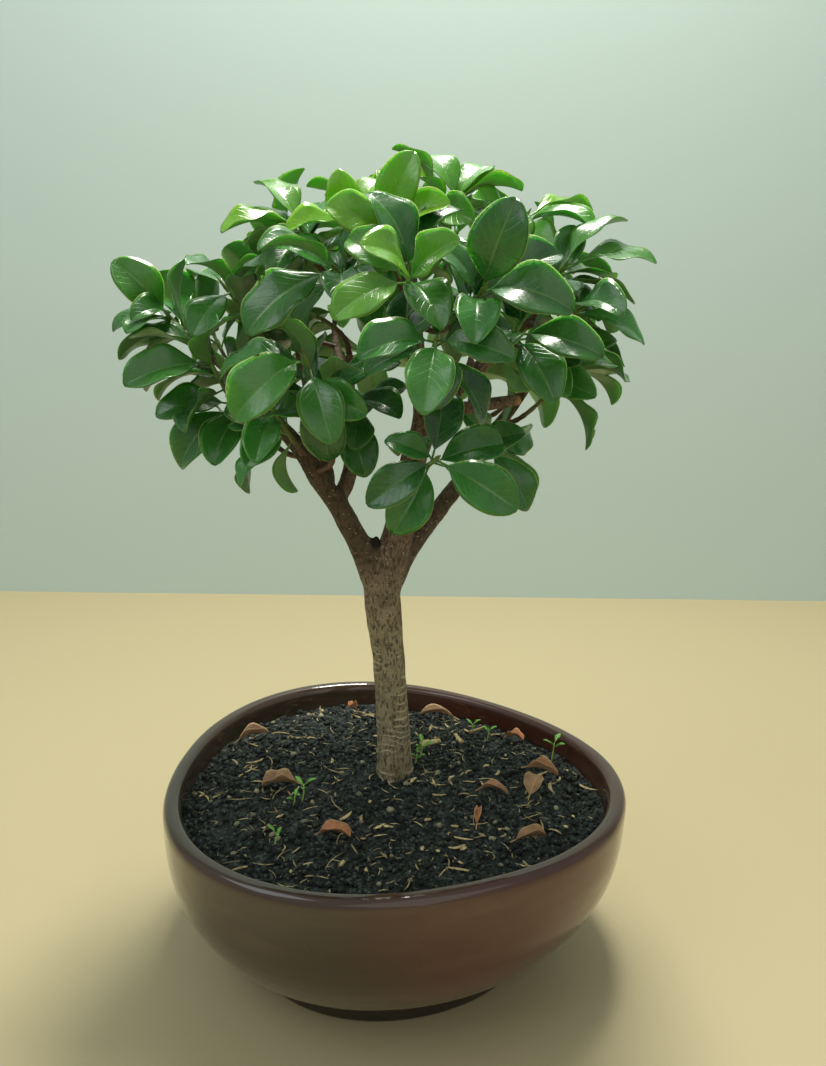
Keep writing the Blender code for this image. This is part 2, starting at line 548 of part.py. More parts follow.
def grow_leaves(stems):
    """Places each wanted leaf where it clears the wood and the leaves before it.

    A leaf that finds no room is turned a little at random, further at each try, then
    shortened, and in the end left out. Returns {shoot: [arguments of leaf_solid]}.
    """
    wood = [resample(np.hstack([path, np.full((len(path), 1), STEM_RADIUS)]), WOOD_STEP)
            for path in stems.values()]
    wood = np.vstack(wood + [resample(path, WOOD_STEP) for path in limb_paths().values()])
    across, along = np.linspace(-1, 1, 5), np.linspace(0.15, 1, 9)[:, None]
    placed, grown = [], {name: [] for name in SHOOTS}
    for name, seed, base, run, top, reach in wanted_leaves(stems):
        dice = random.Random(seed)
        wide = LEAF_WIDE + dice.uniform(*LEAF_WIDE_RANGE)
        arch, fold = dice.uniform(*LEAF_ARCH), dice.uniform(*LEAF_FOLD)
        for attempt in range(LEAF_TRIES):
            size = reach * (1 - SHORTEN * attempt)
            way, face = jittered(run, top, dice, TURN_STEP * attempt)
            blade = leaf_points((base, way, face, size, wide, arch, fold), along, across)
            gaps = np.linalg.norm(blade.reshape(-1, 1, 3) - wood[:, :3], axis=2) - wood[:, 3]
            if gaps.min() < WOOD_CLEAR:
                continue
            wider = (base, way, face, size * LENGTH_CLEAR, wide * WIDTH_CLEAR, arch, fold)
            tree = tree_of(*leaf_solid(wider, TEST_STATIONS, LEAF_THICK + CLEAR))
            middle = blade.mean(axis=(0, 1))
            near = [other for place, other in placed if np.linalg.norm(place - middle) < NEAR]
            if not any(tree.overlap(other) for other in near):
                shape = (base, way, face, size, wide, arch, fold)
                placed.append((middle, tree_of(*leaf_solid(shape, TEST_STATIONS))))
                grown[name].append(shape)
                break
    return grown


def make_tree(collection, helpers):
    """Trunk and limbs, grown together as one piece of wood."""
    paths = limb_paths()
    tree = tube("tree", paths.pop("trunk"), LIMB_ROUND + 1, collection)
    for name, path in paths.items():
        limb = tube(name + "_limb", path, LIMB_ROUND, helpers)
        as_helper(limb, helpers)
        boolean(tree, "UNION", limb)
    return tree


def join_leaves(name, stem, shapes, helpers):
    """Joins the leaves to their stem as one body."""
    for i, shape in enumerate(shapes):
        leaf = add_mesh(f"{name}_leaf_{i + 1}", *leaf_solid(shape), helpers)
        as_helper(leaf, helpers)
        boolean(stem, "UNION", leaf)


def make_shoots(collection, helpers):
    paths = limb_paths()
    stems = {name: stem_path(paths[limb], share, tip)
             for name, (limb, share, tip, _) in SHOOTS.items()}
    made = []
    for name, shapes in grow_leaves(stems).items():
        path = np.hstack([stems[name], np.full((STEM_POINTS, 1), STEM_RADIUS)])
        shoot = tube(f"shoot_{name}", path, STEM_ROUND, collection)
        join_leaves(name, shoot, shapes, helpers)
        made.append(shoot)
    return made


# ---------------------------------------------------------------- litter


def rest_on(piece, ground):
    """Lowers the piece until it is a gap above the ground at its nearest point."""
    least = min(v.co.z - ground.ray_cast((v.co.x, v.co.y, 0.2), (0, 0, -1))[0].z
                for v in piece.data.vertices)
    for vertex in piece.data.vertices:
        vertex.co.z += 2 * GAP - least


def make_litter(soil, collection, helpers):
    """Dry leaves, wood chips, a twig and weed sprouts on the soil."""
    graph = bpy.context.evaluated_depsgraph_get()
    ground = BVHTree.FromObject(soil, graph)
    leaves, wood, sprouts = [], [], []
    for i, (x, y, turn, reach, wide, arch, fold, tilt) in enumerate(FALLEN_LEAVES):
        a, b = math.radians(turn), math.radians(tilt)
        run = np.array([math.cos(a) * math.cos(b), math.sin(a) * math.cos(b), math.sin(b)])
        top = unit(np.array([0, 0, 1]) - run * run[2])
        shape = (np.array([x, y, 0.1]) - run * reach / 2, run, top, reach, wide, arch, fold)
        leaf = add_mesh(f"fallen_leaf_{i + 1}", *leaf_solid(shape, TEST_STATIONS), collection)
        rest_on(leaf, ground)
        leaves.append(leaf)
    for i, (x, y, turn, size) in enumerate(WOOD_CHIPS):
        shape = bmesh.new()
        bmesh.ops.create_cube(shape, size=1)
        a = math.radians(turn)
        for v in shape.verts:
            taper = 1 - 0.45 * (v.co.x > 0)
            p, q = v.co.x * size[0], v.co.y * size[1] * taper
            v.co = (x + p * math.cos(a) - q * math.sin(a), y + p * math.sin(a) + q * math.cos(a),
                    0.1 + v.co.z * size[2] * taper)
        chip = add_mesh(f"wood_chip_{i + 1}", [], [], collection)
        shape.to_mesh(chip.data)
        shape.free()
        rest_on(chip, ground)
        wood.append(chip)
    twig = tube("twig", np.array([(x, y, 0.1, TWIG_RADIUS) for x, y in TWIG]), 1, collection)
    rest_on(twig, ground)
    wood.append(twig)
    for i, (x, y, height) in enumerate(SPROUTS):
        path = np.array([(x, y, 0.1, SPROUT_RADII[0]),
                         (x + 0.001, y - 0.001, 0.1 + height, SPROUT_RADII[1])])
        sprout = tube(f"sprout_{i + 1}", path, 1, collection)
        rest_on(sprout, ground)
        crown = np.array([x + 0.001, y - 0.001, max(v.co.z for v in sprout.data.vertices)])
        shapes = []
        for k in range(SPROUT_LEAVES):
            a = math.radians(GOLDEN_ANGLE * k + 50 * i)
            run = unit(np.array([math.cos(a), math.sin(a), 0.5]))
            top = unit(np.array([0, 0, 1]) - run * run[2])
            shapes.append((crown - (0, 0, SPROUT_SPACING * (k + 1)), run, top, *SPROUT_LEAF))
        join_leaves(f"sprout_{i + 1}", sprout, shapes, helpers)
        sprouts.append(sprout)
    return leaves, wood, sprouts


def finish(pieces, made_material, smooth_angle=40):
    for piece in pieces:
        piece.data.materials.append(made_material)
        piece.data.shade_smooth()
        piece.data.set_sharp_from_angle(angle=math.radians(smooth_angle))


def main():
    for old in list(bpy.data.objects):
        bpy.data.objects.remove(old)
    model = bpy.data.collections.new("bonsai_in_pot")
    helpers = bpy.data.collections.new("cutters_and_joiners")
    for collection in (model, helpers):
        bpy.context.scene.collection.children.link(collection)
    pot = make_pot(model, helpers)
    soil = make_soil(model, helpers)
    tree = make_tree(model, helpers)
    shoots = make_shoots(model, helpers)
    leaves, wood, sprouts = make_litter(soil, model, helpers)
    finish([pot], material("brown_glaze", GLAZE, 0.25, 0.6))
    finish([soil], material("potting_soil", SOIL, 0.95))
    finish([tree], material("bark", BARK, 0.8))
    young = [s for s in shoots if s.name.removeprefix("shoot_") in YOUNG_SHOOTS]
    finish(young, material("young_leaf", YOUNG_LEAF, 0.4))
    finish([s for s in shoots if s not in young], material("leaf", LEAF, 0.35))
    finish(leaves, material("dry_leaf", DRY_LEAF, 0.75))
    finish(wood, material("dead_wood", STEM, 0.85))
    finish(sprouts, material("sprout", YOUNG_LEAF, 0.5))


main()
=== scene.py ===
"""Looks of the bonsai fig in its glazed bowl.

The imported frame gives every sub-part's place. The foliage's layout repeats the design's
table of shoots and the rule that grows them, so that each finished leaf lies on its solid.
Metres, +Z up, the front towards -Y.
"""

import collections
import itertools
import math
import random

import bmesh
import bpy
import numpy as np
from mathutils import Matrix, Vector
from mathutils.bvhtree import BVHTree


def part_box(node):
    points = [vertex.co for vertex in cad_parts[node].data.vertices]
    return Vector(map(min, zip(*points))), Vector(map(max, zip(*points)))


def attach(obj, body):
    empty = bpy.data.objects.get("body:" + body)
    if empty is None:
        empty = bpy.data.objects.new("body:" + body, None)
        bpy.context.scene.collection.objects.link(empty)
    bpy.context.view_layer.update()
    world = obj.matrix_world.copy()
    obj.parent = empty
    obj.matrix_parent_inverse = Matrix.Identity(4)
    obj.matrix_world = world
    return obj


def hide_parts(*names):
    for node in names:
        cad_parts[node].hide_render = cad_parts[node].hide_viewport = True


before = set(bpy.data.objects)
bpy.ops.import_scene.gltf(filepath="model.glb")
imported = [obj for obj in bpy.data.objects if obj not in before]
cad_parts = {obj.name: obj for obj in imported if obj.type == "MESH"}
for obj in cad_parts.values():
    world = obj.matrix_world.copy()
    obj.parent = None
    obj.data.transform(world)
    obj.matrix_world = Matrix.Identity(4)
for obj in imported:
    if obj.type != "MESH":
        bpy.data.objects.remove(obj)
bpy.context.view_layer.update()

# ---------------------------------------------------------------- layout, as designed

GAP = 0.0003  # left between two pieces that touch
POT_HEIGHT = 0.090
POT_RADIUS = 0.1148  # mean radius of the rim
POT_OVAL, POT_OVAL_TURN = 0.0030, -31  # second wave of the plan and where it peaks
POT_TRIANGLE, POT_TRIANGLE_TURN = 0.0053, -8  # third wave: the rounded triangle
FOOT_ROUND = 0.5  # share of the waves that is left at the foot
FOOT_HEIGHT, FOOT_SHARE = 0.0085, 0.655
BELLY_SHARE = 0.670  # where the bowl leaves the foot
BOWL_ROUND = 2.8  # how soon the wall turns upright: 1 is a cone
LIP_HEIGHT = 0.0062  # the rounded part of the rim
WALL = 0.0088
FLOOR, CORNER = 0.010, 0.006  # the floor's thickness, and the rounding where it meets the wall
DRAIN_RADIUS, DRAIN_RING = 0.005, 0.034
SOIL_EDGE, SOIL_MIDDLE = 0.0765, 0.0815  # height at the wall and at the trunk
MOUND_POWER = 1.6  # how flat the mound is in its middle
LIMBS = {
    "trunk": [(0.0040, 0.0100, 0.060, 0.0096), (0.0040, 0.0100, 0.083, 0.0093),
              (0.0020, 0.0090, 0.123, 0.0085), (0.0000, 0.0080, 0.151, 0.0084),
              (-0.0030, 0.0070, 0.178, 0.0094), (-0.0024, 0.0065, 0.192, 0.0093),
              (0.0035, 0.0060, 0.209, 0.0078), (0.0080, 0.0040, 0.228, 0.0071),
              (0.0120, 0.0020, 0.251, 0.0066), (0.0170, 0.0000, 0.271, 0.0060),
              (0.0130, 0.0000, 0.298, 0.0046), (0.0100, 0.0010, 0.326, 0.0034),
              (0.0060, 0.0050, 0.346, 0.0024)],
    "left": [(-0.0030, 0.0065, 0.180, 0.0078), (-0.0090, 0.0045, 0.197, 0.0070),
             (-0.0155, 0.0020, 0.211, 0.0059), (-0.0240, -0.0040, 0.228, 0.0054),
             (-0.0330, -0.0100, 0.243, 0.0048), (-0.0410, -0.0140, 0.257, 0.0042),
             (-0.0540, -0.0170, 0.272, 0.0034), (-0.0660, -0.0160, 0.284, 0.0026)],
    "left_upright": [(-0.0250, -0.004, 0.230, 0.0040), (-0.0205, 0.005, 0.240, 0.0038),
                     (-0.0190, 0.010, 0.250, 0.0036), (-0.0200, 0.014, 0.276, 0.0030),
                     (-0.0200, 0.014, 0.300, 0.0022)],
    "left_inner": [(-0.0290, -0.007, 0.236, 0.0034), (-0.0300, 0.000, 0.245, 0.0031),
                   (-0.0370, 0.012, 0.270, 0.0027), (-0.0460, 0.024, 0.302, 0.0021)],
    "right": [(0.0000, 0.009, 0.184, 0.0064), (0.0100, 0.014, 0.203, 0.0052),
              (0.0260, 0.026, 0.223, 0.0046), (0.0420, 0.036, 0.242, 0.0043),
              (0.0540, 0.043, 0.260, 0.0038), (0.0690, 0.046, 0.281, 0.0030),
              (0.0790, 0.045, 0.298, 0.0023)],
    "cut_branch": [(0.0170, 0.000, 0.270, 0.0040), (0.0240, -0.007, 0.275, 0.0034),
                   (0.0410, -0.014, 0.278, 0.0029), (0.0590, -0.020, 0.2815, 0.0027)],
    "front": [(0.0160, 0.000, 0.280, 0.0042), (0.0130, -0.009, 0.296, 0.0034),
              (0.0110, -0.021, 0.316, 0.0027), (0.0110, -0.034, 0.327, 0.0020)],
    "right_upper": [(0.0170, 0.000, 0.272, 0.0046), (0.0370, 0.001, 0.290, 0.0036),
                    (0.0590, 0.000, 0.311, 0.0029), (0.0780, -0.004, 0.326, 0.0022)],
    "left_upper": [(0.0130, 0.000, 0.300, 0.0036), (-0.0070, -0.003, 0.317, 0.0028),
                   (-0.0280, -0.006, 0.335, 0.0021)],
    "back_middle": [(0.0150, 0.001, 0.286, 0.0036), (0.0130, 0.024, 0.304, 0.0028),
                    (0.0100, 0.047, 0.322, 0.0021)],
    "back_left": [(-0.0200, 0.013, 0.268, 0.0032), (-0.0250, 0.034, 0.290, 0.0027),
                  (-0.0310, 0.056, 0.311, 0.0020)],
    "back_right": [(0.0420, 0.036, 0.242, 0.0038), (0.0440, 0.052, 0.268, 0.0031),
                   (0.0430, 0.066, 0.298, 0.0022)],
    "bud_scar": [(-0.0040, 0.004, 0.196, 0.0050), (-0.0062, 0.002, 0.206, 0.0030),
                 (-0.0070, 0.001, 0.212, 0.0018)],
}
LIMB_SPANS = 2  # smooth steps between two listed points
STEM_RADIUS = 0.0012
STEM_POINTS = 5
SHOOTS = {
    "left_tip": ("left", 1.0, (-0.102, -0.005, 0.317),
                 [(134, 20, 0.036, 0.85), (150, 58, 0.034, 0.4), (-176, 20, 0.034, 0.0),
                  (-152, 62, 0.034, 0.3)]),
    "left_low": ("left", 0.863, (-0.082, -0.015, 0.298),
                 [(174, 8, 0.038, 0.1), (-161, 28, 0.042, 0.75), (-156, -12, 0.038, 0.3),
                  (62, 50, 0.036, 0.6)]),
    "left_high": ("left", 0.829, (-0.077, 0.005, 0.330),
                  [(166, -50, 0.036, 0.2), (-116, 45, 0.038, 0.7), (150, 55, 0.034, 0.3),
                   (30, 35, 0.036, 0.4)]),
    "left_under": ("left", 0.794, (-0.073, -0.005, 0.277),
                   [(-168, 15, 0.038, 0.6), (-130, 5, 0.043, 0.6), (-105, 32, 0.036, 0.7),
                    (151, 48, 0.036, 0.6)]),
    "left_drop": ("left", 0.709, (-0.049, -0.036, 0.275),
                  [(-102, 50, 0.034, 0.8), (5, 60, 0.034, 0.8), (-150, 55, 0.034, 0.7)]),
    "front_left": ("left", 0.614, (-0.032, -0.060, 0.298),
                   [(-136, 20, 0.043, 0.85), (-166, -8, 0.040, 0.35), (-70, 28, 0.037, 0.9),
                    (-82, -12, 0.040, 0.7), (160, 40, 0.036, 0.4), (-20, 35, 0.036, 0.8)]),
    "upper_left": ("left_upper", 0.75, (-0.021, -0.050, 0.334),
                   [(-140, 10, 0.047, 0.6), (176, 35, 0.038, 0.2), (-118, -22, 0.038, 0.5),
                    (-74, 55, 0.036, 0.7), (-35, 30, 0.036, 0.7)]),
    "top_left": ("left_upper", 1.0, (-0.039, -0.020, 0.355),
                 [(-165, 28, 0.037, 0.3), (140, -28, 0.036, 0.1), (174, -12, 0.038, 0.2),
                  (146, 52, 0.034, 0.5), (-118, 50, 0.036, 0.5)]),
    "top_middle_left": ("left_upper", 0.55, (-0.019, -0.018, 0.356),
                        [(98, 40, 0.030, 0.85), (158, 48, 0.036, 0.7), (60, -30, 0.032, 0.3)]),
    "top_centre": ("front", 0.86, (-0.001, -0.040, 0.350),
                   [(67, 18, 0.034, 0.85), (30, 45, 0.037, 0.8), (147, 35, 0.035, 0.8),
                    (-95, 55, 0.034, 0.6)]),
    "front_upper": ("front", 1.0, (0.008, -0.075, 0.326),
                    [(154, 52, 0.036, 0.8), (32, 45, 0.034, 0.85), (-149, 25, 0.037, 0.7),
                     (-60, 50, 0.036, 0.7)]),
    "front_bud": ("front", 0.66, (0.036, -0.080, 0.324),
                  [(71, 22, 0.038, 0.9), (-16, 20, 0.041, 0.85), (-147, 20, 0.034, 0.8),
                   (-97, 52, 0.034, 0.8), (141, 25, 0.034, 0.6), (27, -8, 0.040, 0.6)]),
    "top_right": ("trunk", 1.0, (0.029, -0.010, 0.366),
                  [(124, -30, 0.032, 0.2), (44, -35, 0.034, 0.2), (11, -18, 0.039, 0.15),
                   (158, 50, 0.034, 0.5), (-8, 50, 0.036, 0.7)]),
    "right_top": ("right_upper", 0.55, (0.061, 0.000, 0.362),
                  [(3, -18, 0.036, 0.1), (-14, 25, 0.036, 0.3), (150, 30, 0.034, 0.4),
                   (-60, 45, 0.034, 0.6)]),
    "right_shoulder": ("right_upper", 0.90, (0.074, -0.030, 0.337),
                       [(32, -12, 0.038, 0.1), (0, 15, 0.042, 0.3), (-6, -38, 0.036, 0.2),
                        (165, 40, 0.036, 0.6)]),
    "right_middle": ("right_upper", 0.78, (0.079, -0.035, 0.319),
                     [(-20, 60, 0.036, 0.8), (4, -45, 0.036, 0.3), (-24, 5, 0.038, 0.4)]),
    "right_front": ("right_upper", 0.42, (0.053, -0.060, 0.309),
                    [(-18, 24, 0.038, 0.9), (-148, 48, 0.036, 0.7), (-62, 30, 0.036, 0.8),
                     (30, 45, 0.034, 0.7)]),
    "right_low": ("right_upper", 0.62, (0.071, -0.020, 0.290),
                  [(28, 5, 0.037, 0.5), (5, -22, 0.040, 0.4), (-33, 18, 0.037, 0.6),
                   (-62, 35, 0.036, 0.6), (-8, 60, 0.034, 0.8)]),
    "front_centre": ("front", 0.48, (0.019, -0.090, 0.306),
                     [(-100, 38, 0.036, 0.95), (-10, 30, 0.034, 0.8), (-160, 20, 0.034, 0.7)]),
    "low_front": ("trunk", 0.667, (0.021, -0.060, 0.259),
                  [(-146, 12, 0.036, 0.95), (-31, 10, 0.041, 0.95), (160, 20, 0.026, 0.8)]),
    "low_right": ("right", 0.62, (0.047, 0.010, 0.256),
                  [(24, 38, 0.030, 0.9), (-57, 5, 0.040, 0.5), (130, 35, 0.030, 0.8)]),
    "inner_left": ("left_upright", 0.60, (-0.017, -0.020, 0.278),
                   [(-131, 48, 0.036, 0.8), (-22, 50, 0.036, 0.8), (-175, 35, 0.036, 0.7),
                    (-80, 20, 0.034, 0.8)]),
    # The rest of the crown: its leaves follow the rule in rule_leaves alone.
    "back_top_left": ("left_inner", 1.0, (-0.050, 0.025, 0.350), []),
    "back_top_middle": ("trunk", 0.94, (-0.012, 0.030, 0.362), []),
    "back_top_right": ("back_middle", 0.80, (0.032, 0.036, 0.360), []),
    "back_top_far_right": ("right", 1.0, (0.072, 0.036, 0.343), []),
    "back_far_left": ("left_inner", 0.70, (-0.092, 0.032, 0.313), []),
    "back_left_outer": ("back_left", 0.85, (-0.066, 0.055, 0.328), []),
    "back_left_inner": ("back_left", 1.0, (-0.027, 0.072, 0.334), []),
    "back_middle_high": ("back_middle", 1.0, (0.018, 0.077, 0.336), []),
    "back_right_high": ("back_right", 1.0, (0.060, 0.068, 0.330), []),
    "back_far_right": ("right", 0.86, (0.094, 0.026, 0.320), []),
    "low_back_far_left": ("left_inner", 0.45, (-0.080, 0.030, 0.294), []),
    "low_back_left": ("back_left", 0.55, (-0.055, 0.060, 0.298), []),
    "low_back_middle": ("back_left", 0.72, (-0.010, 0.076, 0.300), []),
    "low_back_right": ("back_right", 0.80, (0.034, 0.086, 0.298), []),
    "low_back_outer_right": ("back_right", 0.50, (0.072, 0.068, 0.298), []),
    "low_far_right": ("right", 0.72, (0.091, 0.022, 0.296), []),
    "middle_left": ("left_upright", 1.0, (-0.046, 0.002, 0.322), []),
    "middle_right": ("right_upper", 0.60, (0.046, -0.026, 0.338), []),
}
CROWN_CENTRE = (-0.005, 0.0, 0.300)
CROWN_LIFT = 0.03  # how far rule leaves turn up from the way out of that centre
OPENED, OPENS = 48, 48  # degrees a rule leaf leans off the stem at the tip, and more below
RULE_LEAVES, FILLER_LEAVES = 7, 5  # rule leaves on a shoot without rows, and on one with
RULE_REACH = (0.033, 0.041)
GOLDEN_ANGLE = 137.5
INTERNODE = 0.0022  # between two leaves along the stem
LEAF_WIDE = 0.60  # blade width as a share of its length
LEAF_WIDE_RANGE = (-0.05, 0.06)
LEAF_ARCH, LEAF_FOLD = (38, 84), (8, 22)  # least and most, in degrees
OUTLINE_SKEW, OUTLINE_POWER = 0.92, 0.75  # of the sine that gives a blade's width
FACE_UP = 0.80  # share of a row's face that is kept, so that blades lie flatter
LEAF_THICK = 0.0010
LEAF_PETIOLE = 0.15  # share of the reach that is stalk
PETIOLE_HALF = 0.00055
BLADE_STATIONS = (0.24, 0.70)  # sections of the finished leaf
TEST_STATIONS = (0.05, 0.30, 0.55, 0.80, 0.94)  # sections of the leaf that tests for room
CLEAR = 0.0016  # extra thickness of that leaf
WOOD_CLEAR = 0.0022  # least way from a blade to a stem or limb
WOOD_STEP = 0.0015
LENGTH_CLEAR, WIDTH_CLEAR = 1.03, 1.06  # how much larger the leaf that tests for room is
NEAR = 0.05  # leaves whose middles are closer than this are tested against each other
LEAF_TRIES = 70
TURN_STEP, SHORTEN = 0.9, 0.004  # degrees turned and share of the length lost at each try
FALLEN_LEAVES = [
    (-0.023, -0.053, -12, 0.019, 0.52, 75, 25, 0),
    (-0.054, -0.008, 192, 0.022, 0.60, 45, 40, 0),
    (-0.080, 0.050, 12, 0.021, 0.42, 60, 45, 8),
    (-0.024, 0.082, 250, 0.017, 0.40, 70, 50, 30),
    (0.045, -0.037, 80, 0.014, 0.42, 60, 45, 12),
    (0.055, -0.014, -24, 0.019, 0.34, 84, 40, 0),
    (0.076, -0.009, 62, 0.016, 0.80, 30, 15, 24),
    (0.083, 0.012, -32, 0.022, 0.42, 50, 58, 0),
    (0.074, 0.052, -44, 0.016, 0.48, 70, 40, 8),
    (0.030, 0.084, 175, 0.026, 0.35, 60, 45, 0),
    (0.068, -0.050, 14, 0.018, 0.52, 40, 40, 0),
]
WOOD_CHIPS = [  # x, y, turn, (length, width, thickness)
    (0.024, 0.042, 25, (0.012, 0.0055, 0.0028)),
    (0.041, 0.050, 110, (0.010, 0.0040, 0.0024)),
]
TWIG = [(0.048, 0.060), (0.058, 0.068)]
TWIG_RADIUS = 0.0011
SPROUTS = [(-0.042, -0.020, 0.009), (0.092, 0.030, 0.012), (0.018, 0.026, 0.008)]
SPROUT_LEAVES = 3
SPROUT_LEAF = (0.0075, 0.45, 30, 10)    # length, width share, arch and fold in degrees
SPROUT_SPACING = 0.0011


def unit(vector):
    return vector / np.linalg.norm(vector)


def smooth_path(points, spans):
    """Catmull-Rom curve through the rows, which may carry a radius as a fourth number."""
    rows = np.array(points, float)
    rows = np.vstack([2 * rows[0] - rows[1], rows, 2 * rows[-1] - rows[-2]])
    t = (np.arange(spans) / spans)[:, None]
    made = []
    for a, b, c, d in zip(rows, rows[1:], rows[2:], rows[3:]):
        made.append(b + t * (c - a) / 2 + t**2 * (2 * a - 5 * b + 4 * c - d) / 2
                    + t**3 * (3 * b - a - 3 * c + d) / 2)
    return np.vstack(made + [rows[-2:-1]])


def pressed(angle, height):
    """How far the plan departs from a circle: two waves, which fade towards the foot."""
    waves = (POT_OVAL * np.cos(2 * (angle - math.radians(POT_OVAL_TURN)))
             + POT_TRIANGLE * np.cos(3 * (angle - math.radians(POT_TRIANGLE_TURN))))
    return 1 + waves / POT_RADIUS * (FOOT_ROUND + (1 - FOOT_ROUND) * height / POT_HEIGHT)


def bowl_share(height, start):
    """The wall's radius as a share of the rim's: it slants out from start and turns upright."""
    t = np.clip((height - FOOT_HEIGHT) / (POT_HEIGHT - LIP_HEIGHT - FOOT_HEIGHT), 0, 1)
    return start + (1 - start) * (1 - (1 - t) ** BOWL_ROUND)


def inner_share(height):
    """The inner wall's radius as a share of the rim's."""
    return bowl_share(height, BELLY_SHARE) - WALL / POT_RADIUS


def stalk_end(shape):
    """Where a leaf's stalk meets its blade."""
    base, run, top, reach, _, arch, _ = shape
    half = math.radians(arch / 2)
    return base + (run * math.cos(half) + top * math.sin(half)) * reach * LEAF_PETIOLE


def leaf_points(shape, u, v, lift=0.0):
    """Points of a leaf, u along its blade from 0 to 1 and v across it from -1 to 1.

    The midline is an arc whose chord lies along run: it leaves the stalk turned towards top
    by half of arch degrees, and ends turned away by the other half. Both halves of the
    blade rise from it by fold degrees, and their width follows the sine of the way along
    the blade. Lift moves a point off the surface.
    """
    base, run, top, reach, wide, arch, fold = shape
    blade, bend, tilt = reach * (1 - LEAF_PETIOLE), math.radians(arch), math.radians(fold)
    u, v, lift = (np.asarray(x, float)[..., None] for x in (u, v, lift))
    angle, start = bend * (u - 0.5), -bend / 2
    half = blade * wide / 2 * np.sin(math.pi * u**OUTLINE_SKEW) ** OUTLINE_POWER
    normal = top * np.cos(angle) + run * np.sin(angle)
    return (stalk_end(shape) + run * blade * (np.sin(angle) - math.sin(start)) / bend
            + top * blade * (np.cos(angle) - math.cos(start)) / bend
            + np.cross(run, top) * v * half * math.cos(tilt)
            + normal * (np.abs(v) * half * math.sin(tilt) + lift))


def leaf_solid(shape, stations=BLADE_STATIONS, thick=LEAF_THICK):
    """Points and faces of a closed leaf: sections of two edges and two ridges, and a tip."""
    base, run, top = shape[:3]
    ring = np.array([np.cross(run, top), top, -np.cross(run, top), -top]) * PETIOLE_HALF
    blade = leaf_points(shape, np.array(stations)[:, None], np.array([1, 0, -1, 0]),
                        np.array([0, thick / 2, 0, -thick / 2]))
    tip = leaf_points(shape, 1.0, 0.0)
    points = np.vstack([base + ring, stalk_end(shape) + ring, blade.reshape(-1, 3), tip])
    last = 4 * (len(stations) + 1)
    faces = [(0, 1, 2, 3)]
    faces += [(a, a + 4, b + 4, b) for r in range(0, last, 4)
              for a, b in ((r + k, r + (k + 1) % 4) for k in range(4))]
    faces += [(last + (k + 1) % 4, last + k, last + 4) for k in range(4)]
    return points, faces


def row_leaf(clock, lean, face):
    """The direction of a leaf set by its row, and that of its upper side."""
    c, s = math.radians(clock), math.radians(lean)
    face = face * FACE_UP
    run = np.array([math.cos(s) * math.cos(c), -math.sin(s), math.cos(s) * math.sin(c)])
    facing = np.array([0, -face - 0.15, 1.1 - face])
    return run, unit(facing - run * (facing @ run))


def rule_leaves(tip, count, turn, away):
    """Leaves around a shoot that follow the golden angle and open wider further down."""
    axis = unit(np.array(tip) - CROWN_CENTRE + (0, 0, CROWN_LIFT))
    across = unit(np.cross(axis, (0.3, 0.2, 1)))
    level = np.cross(axis, across)
    made = []
    for i in range(count):
        spin = math.radians(turn + GOLDEN_ANGLE * i)
        opened = math.radians(OPENED + OPENS * i / count)
        out = across * math.cos(spin) + level * math.sin(spin)
        run = axis * math.cos(opened) + out * math.sin(opened)
        if away and i % 2 == 0:
            run[1] = abs(run[1])
        facing = axis + (0, 0, 0.8)
        made.append((unit(run), unit(facing - run * (facing @ run))))
    return made


def jittered(run, top, dice, spread):
    """The leaf turned a little at random, by up to about spread degrees."""
    amount = math.radians(spread)
    nudge = np.array([dice.uniform(-amount, amount) for _ in range(6)])
    run = unit(run + nudge[:3])
    top = top + nudge[3:]
    return run, unit(top - run * (top @ run))


def limb_paths():
    return {name: smooth_path(points, LIMB_SPANS) for name, points in LIMBS.items()}


def stem_path(limb, share, tip):
    """A stem from the limb's skin to the tip: it leaves the limb square and bends over."""
    place = share * (len(limb) - 1)
    low = min(int(place), len(limb) - 2)
    here = limb[low] + (limb[low + 1] - limb[low]) * (place - low)
    along = unit(limb[low + 1, :3] - limb[low, :3])
    tip = np.array(tip)
    if share < 1:
        away = tip - here[:3]
        along = unit(away - along * (away @ along))
        start = here[:3] + along * (here[3] + GAP)
    else:
        start = here[:3] + along * GAP
    bend = start + along * np.linalg.norm(tip - start) * 0.4
    t = np.linspace(0, 1, STEM_POINTS)[:, None]
    return start * (1 - t) ** 2 + bend * 2 * t * (1 - t) + tip * t**2


def resample(path, step):
    """Points along a polyline no further apart than step."""
    made = []
    for a, b in zip(path, path[1:]):
        count = max(1, math.ceil(np.linalg.norm(b[:3] - a[:3]) / step))
        made += [a + (b - a) * k / count for k in range(count)]
    return np.array(made + [path[-1]])


def wanted_leaves(stems):
    """Every leaf that the shoots ask for: (shoot, seed, base, run, top, reach).

    The listed ones come first, then those that follow the rule, and last the fillers.
    """
    rows, rest, fillers = [], [], []
    for number, (name, (_, _, tip, leaves)) in enumerate(SHOOTS.items()):
        stem = resample(stems[name], INTERNODE)
        for i, (clock, lean, reach, face) in enumerate(leaves):
            run, top = row_leaf(clock, lean, face)
            rows.append((name, 100 * number + i, stem[-1 - i], run, top, reach))
        count = FILLER_LEAVES if leaves else RULE_LEAVES
        dice = random.Random(number)
        for i, (run, top) in enumerate(rule_leaves(tip, count, 77 * number, bool(leaves))):
            base = stem[max(0, len(stem) - 1 - len(leaves) - i)]
            group = fillers if leaves else rest
            group.append((name, 100 * number + 50 + i, base, run, top, dice.uniform(*RULE_REACH)))
    return rows + rest + fillers


def tree_of(points, faces):
    return BVHTree.FromPolygons([tuple(p) for p in points], faces)


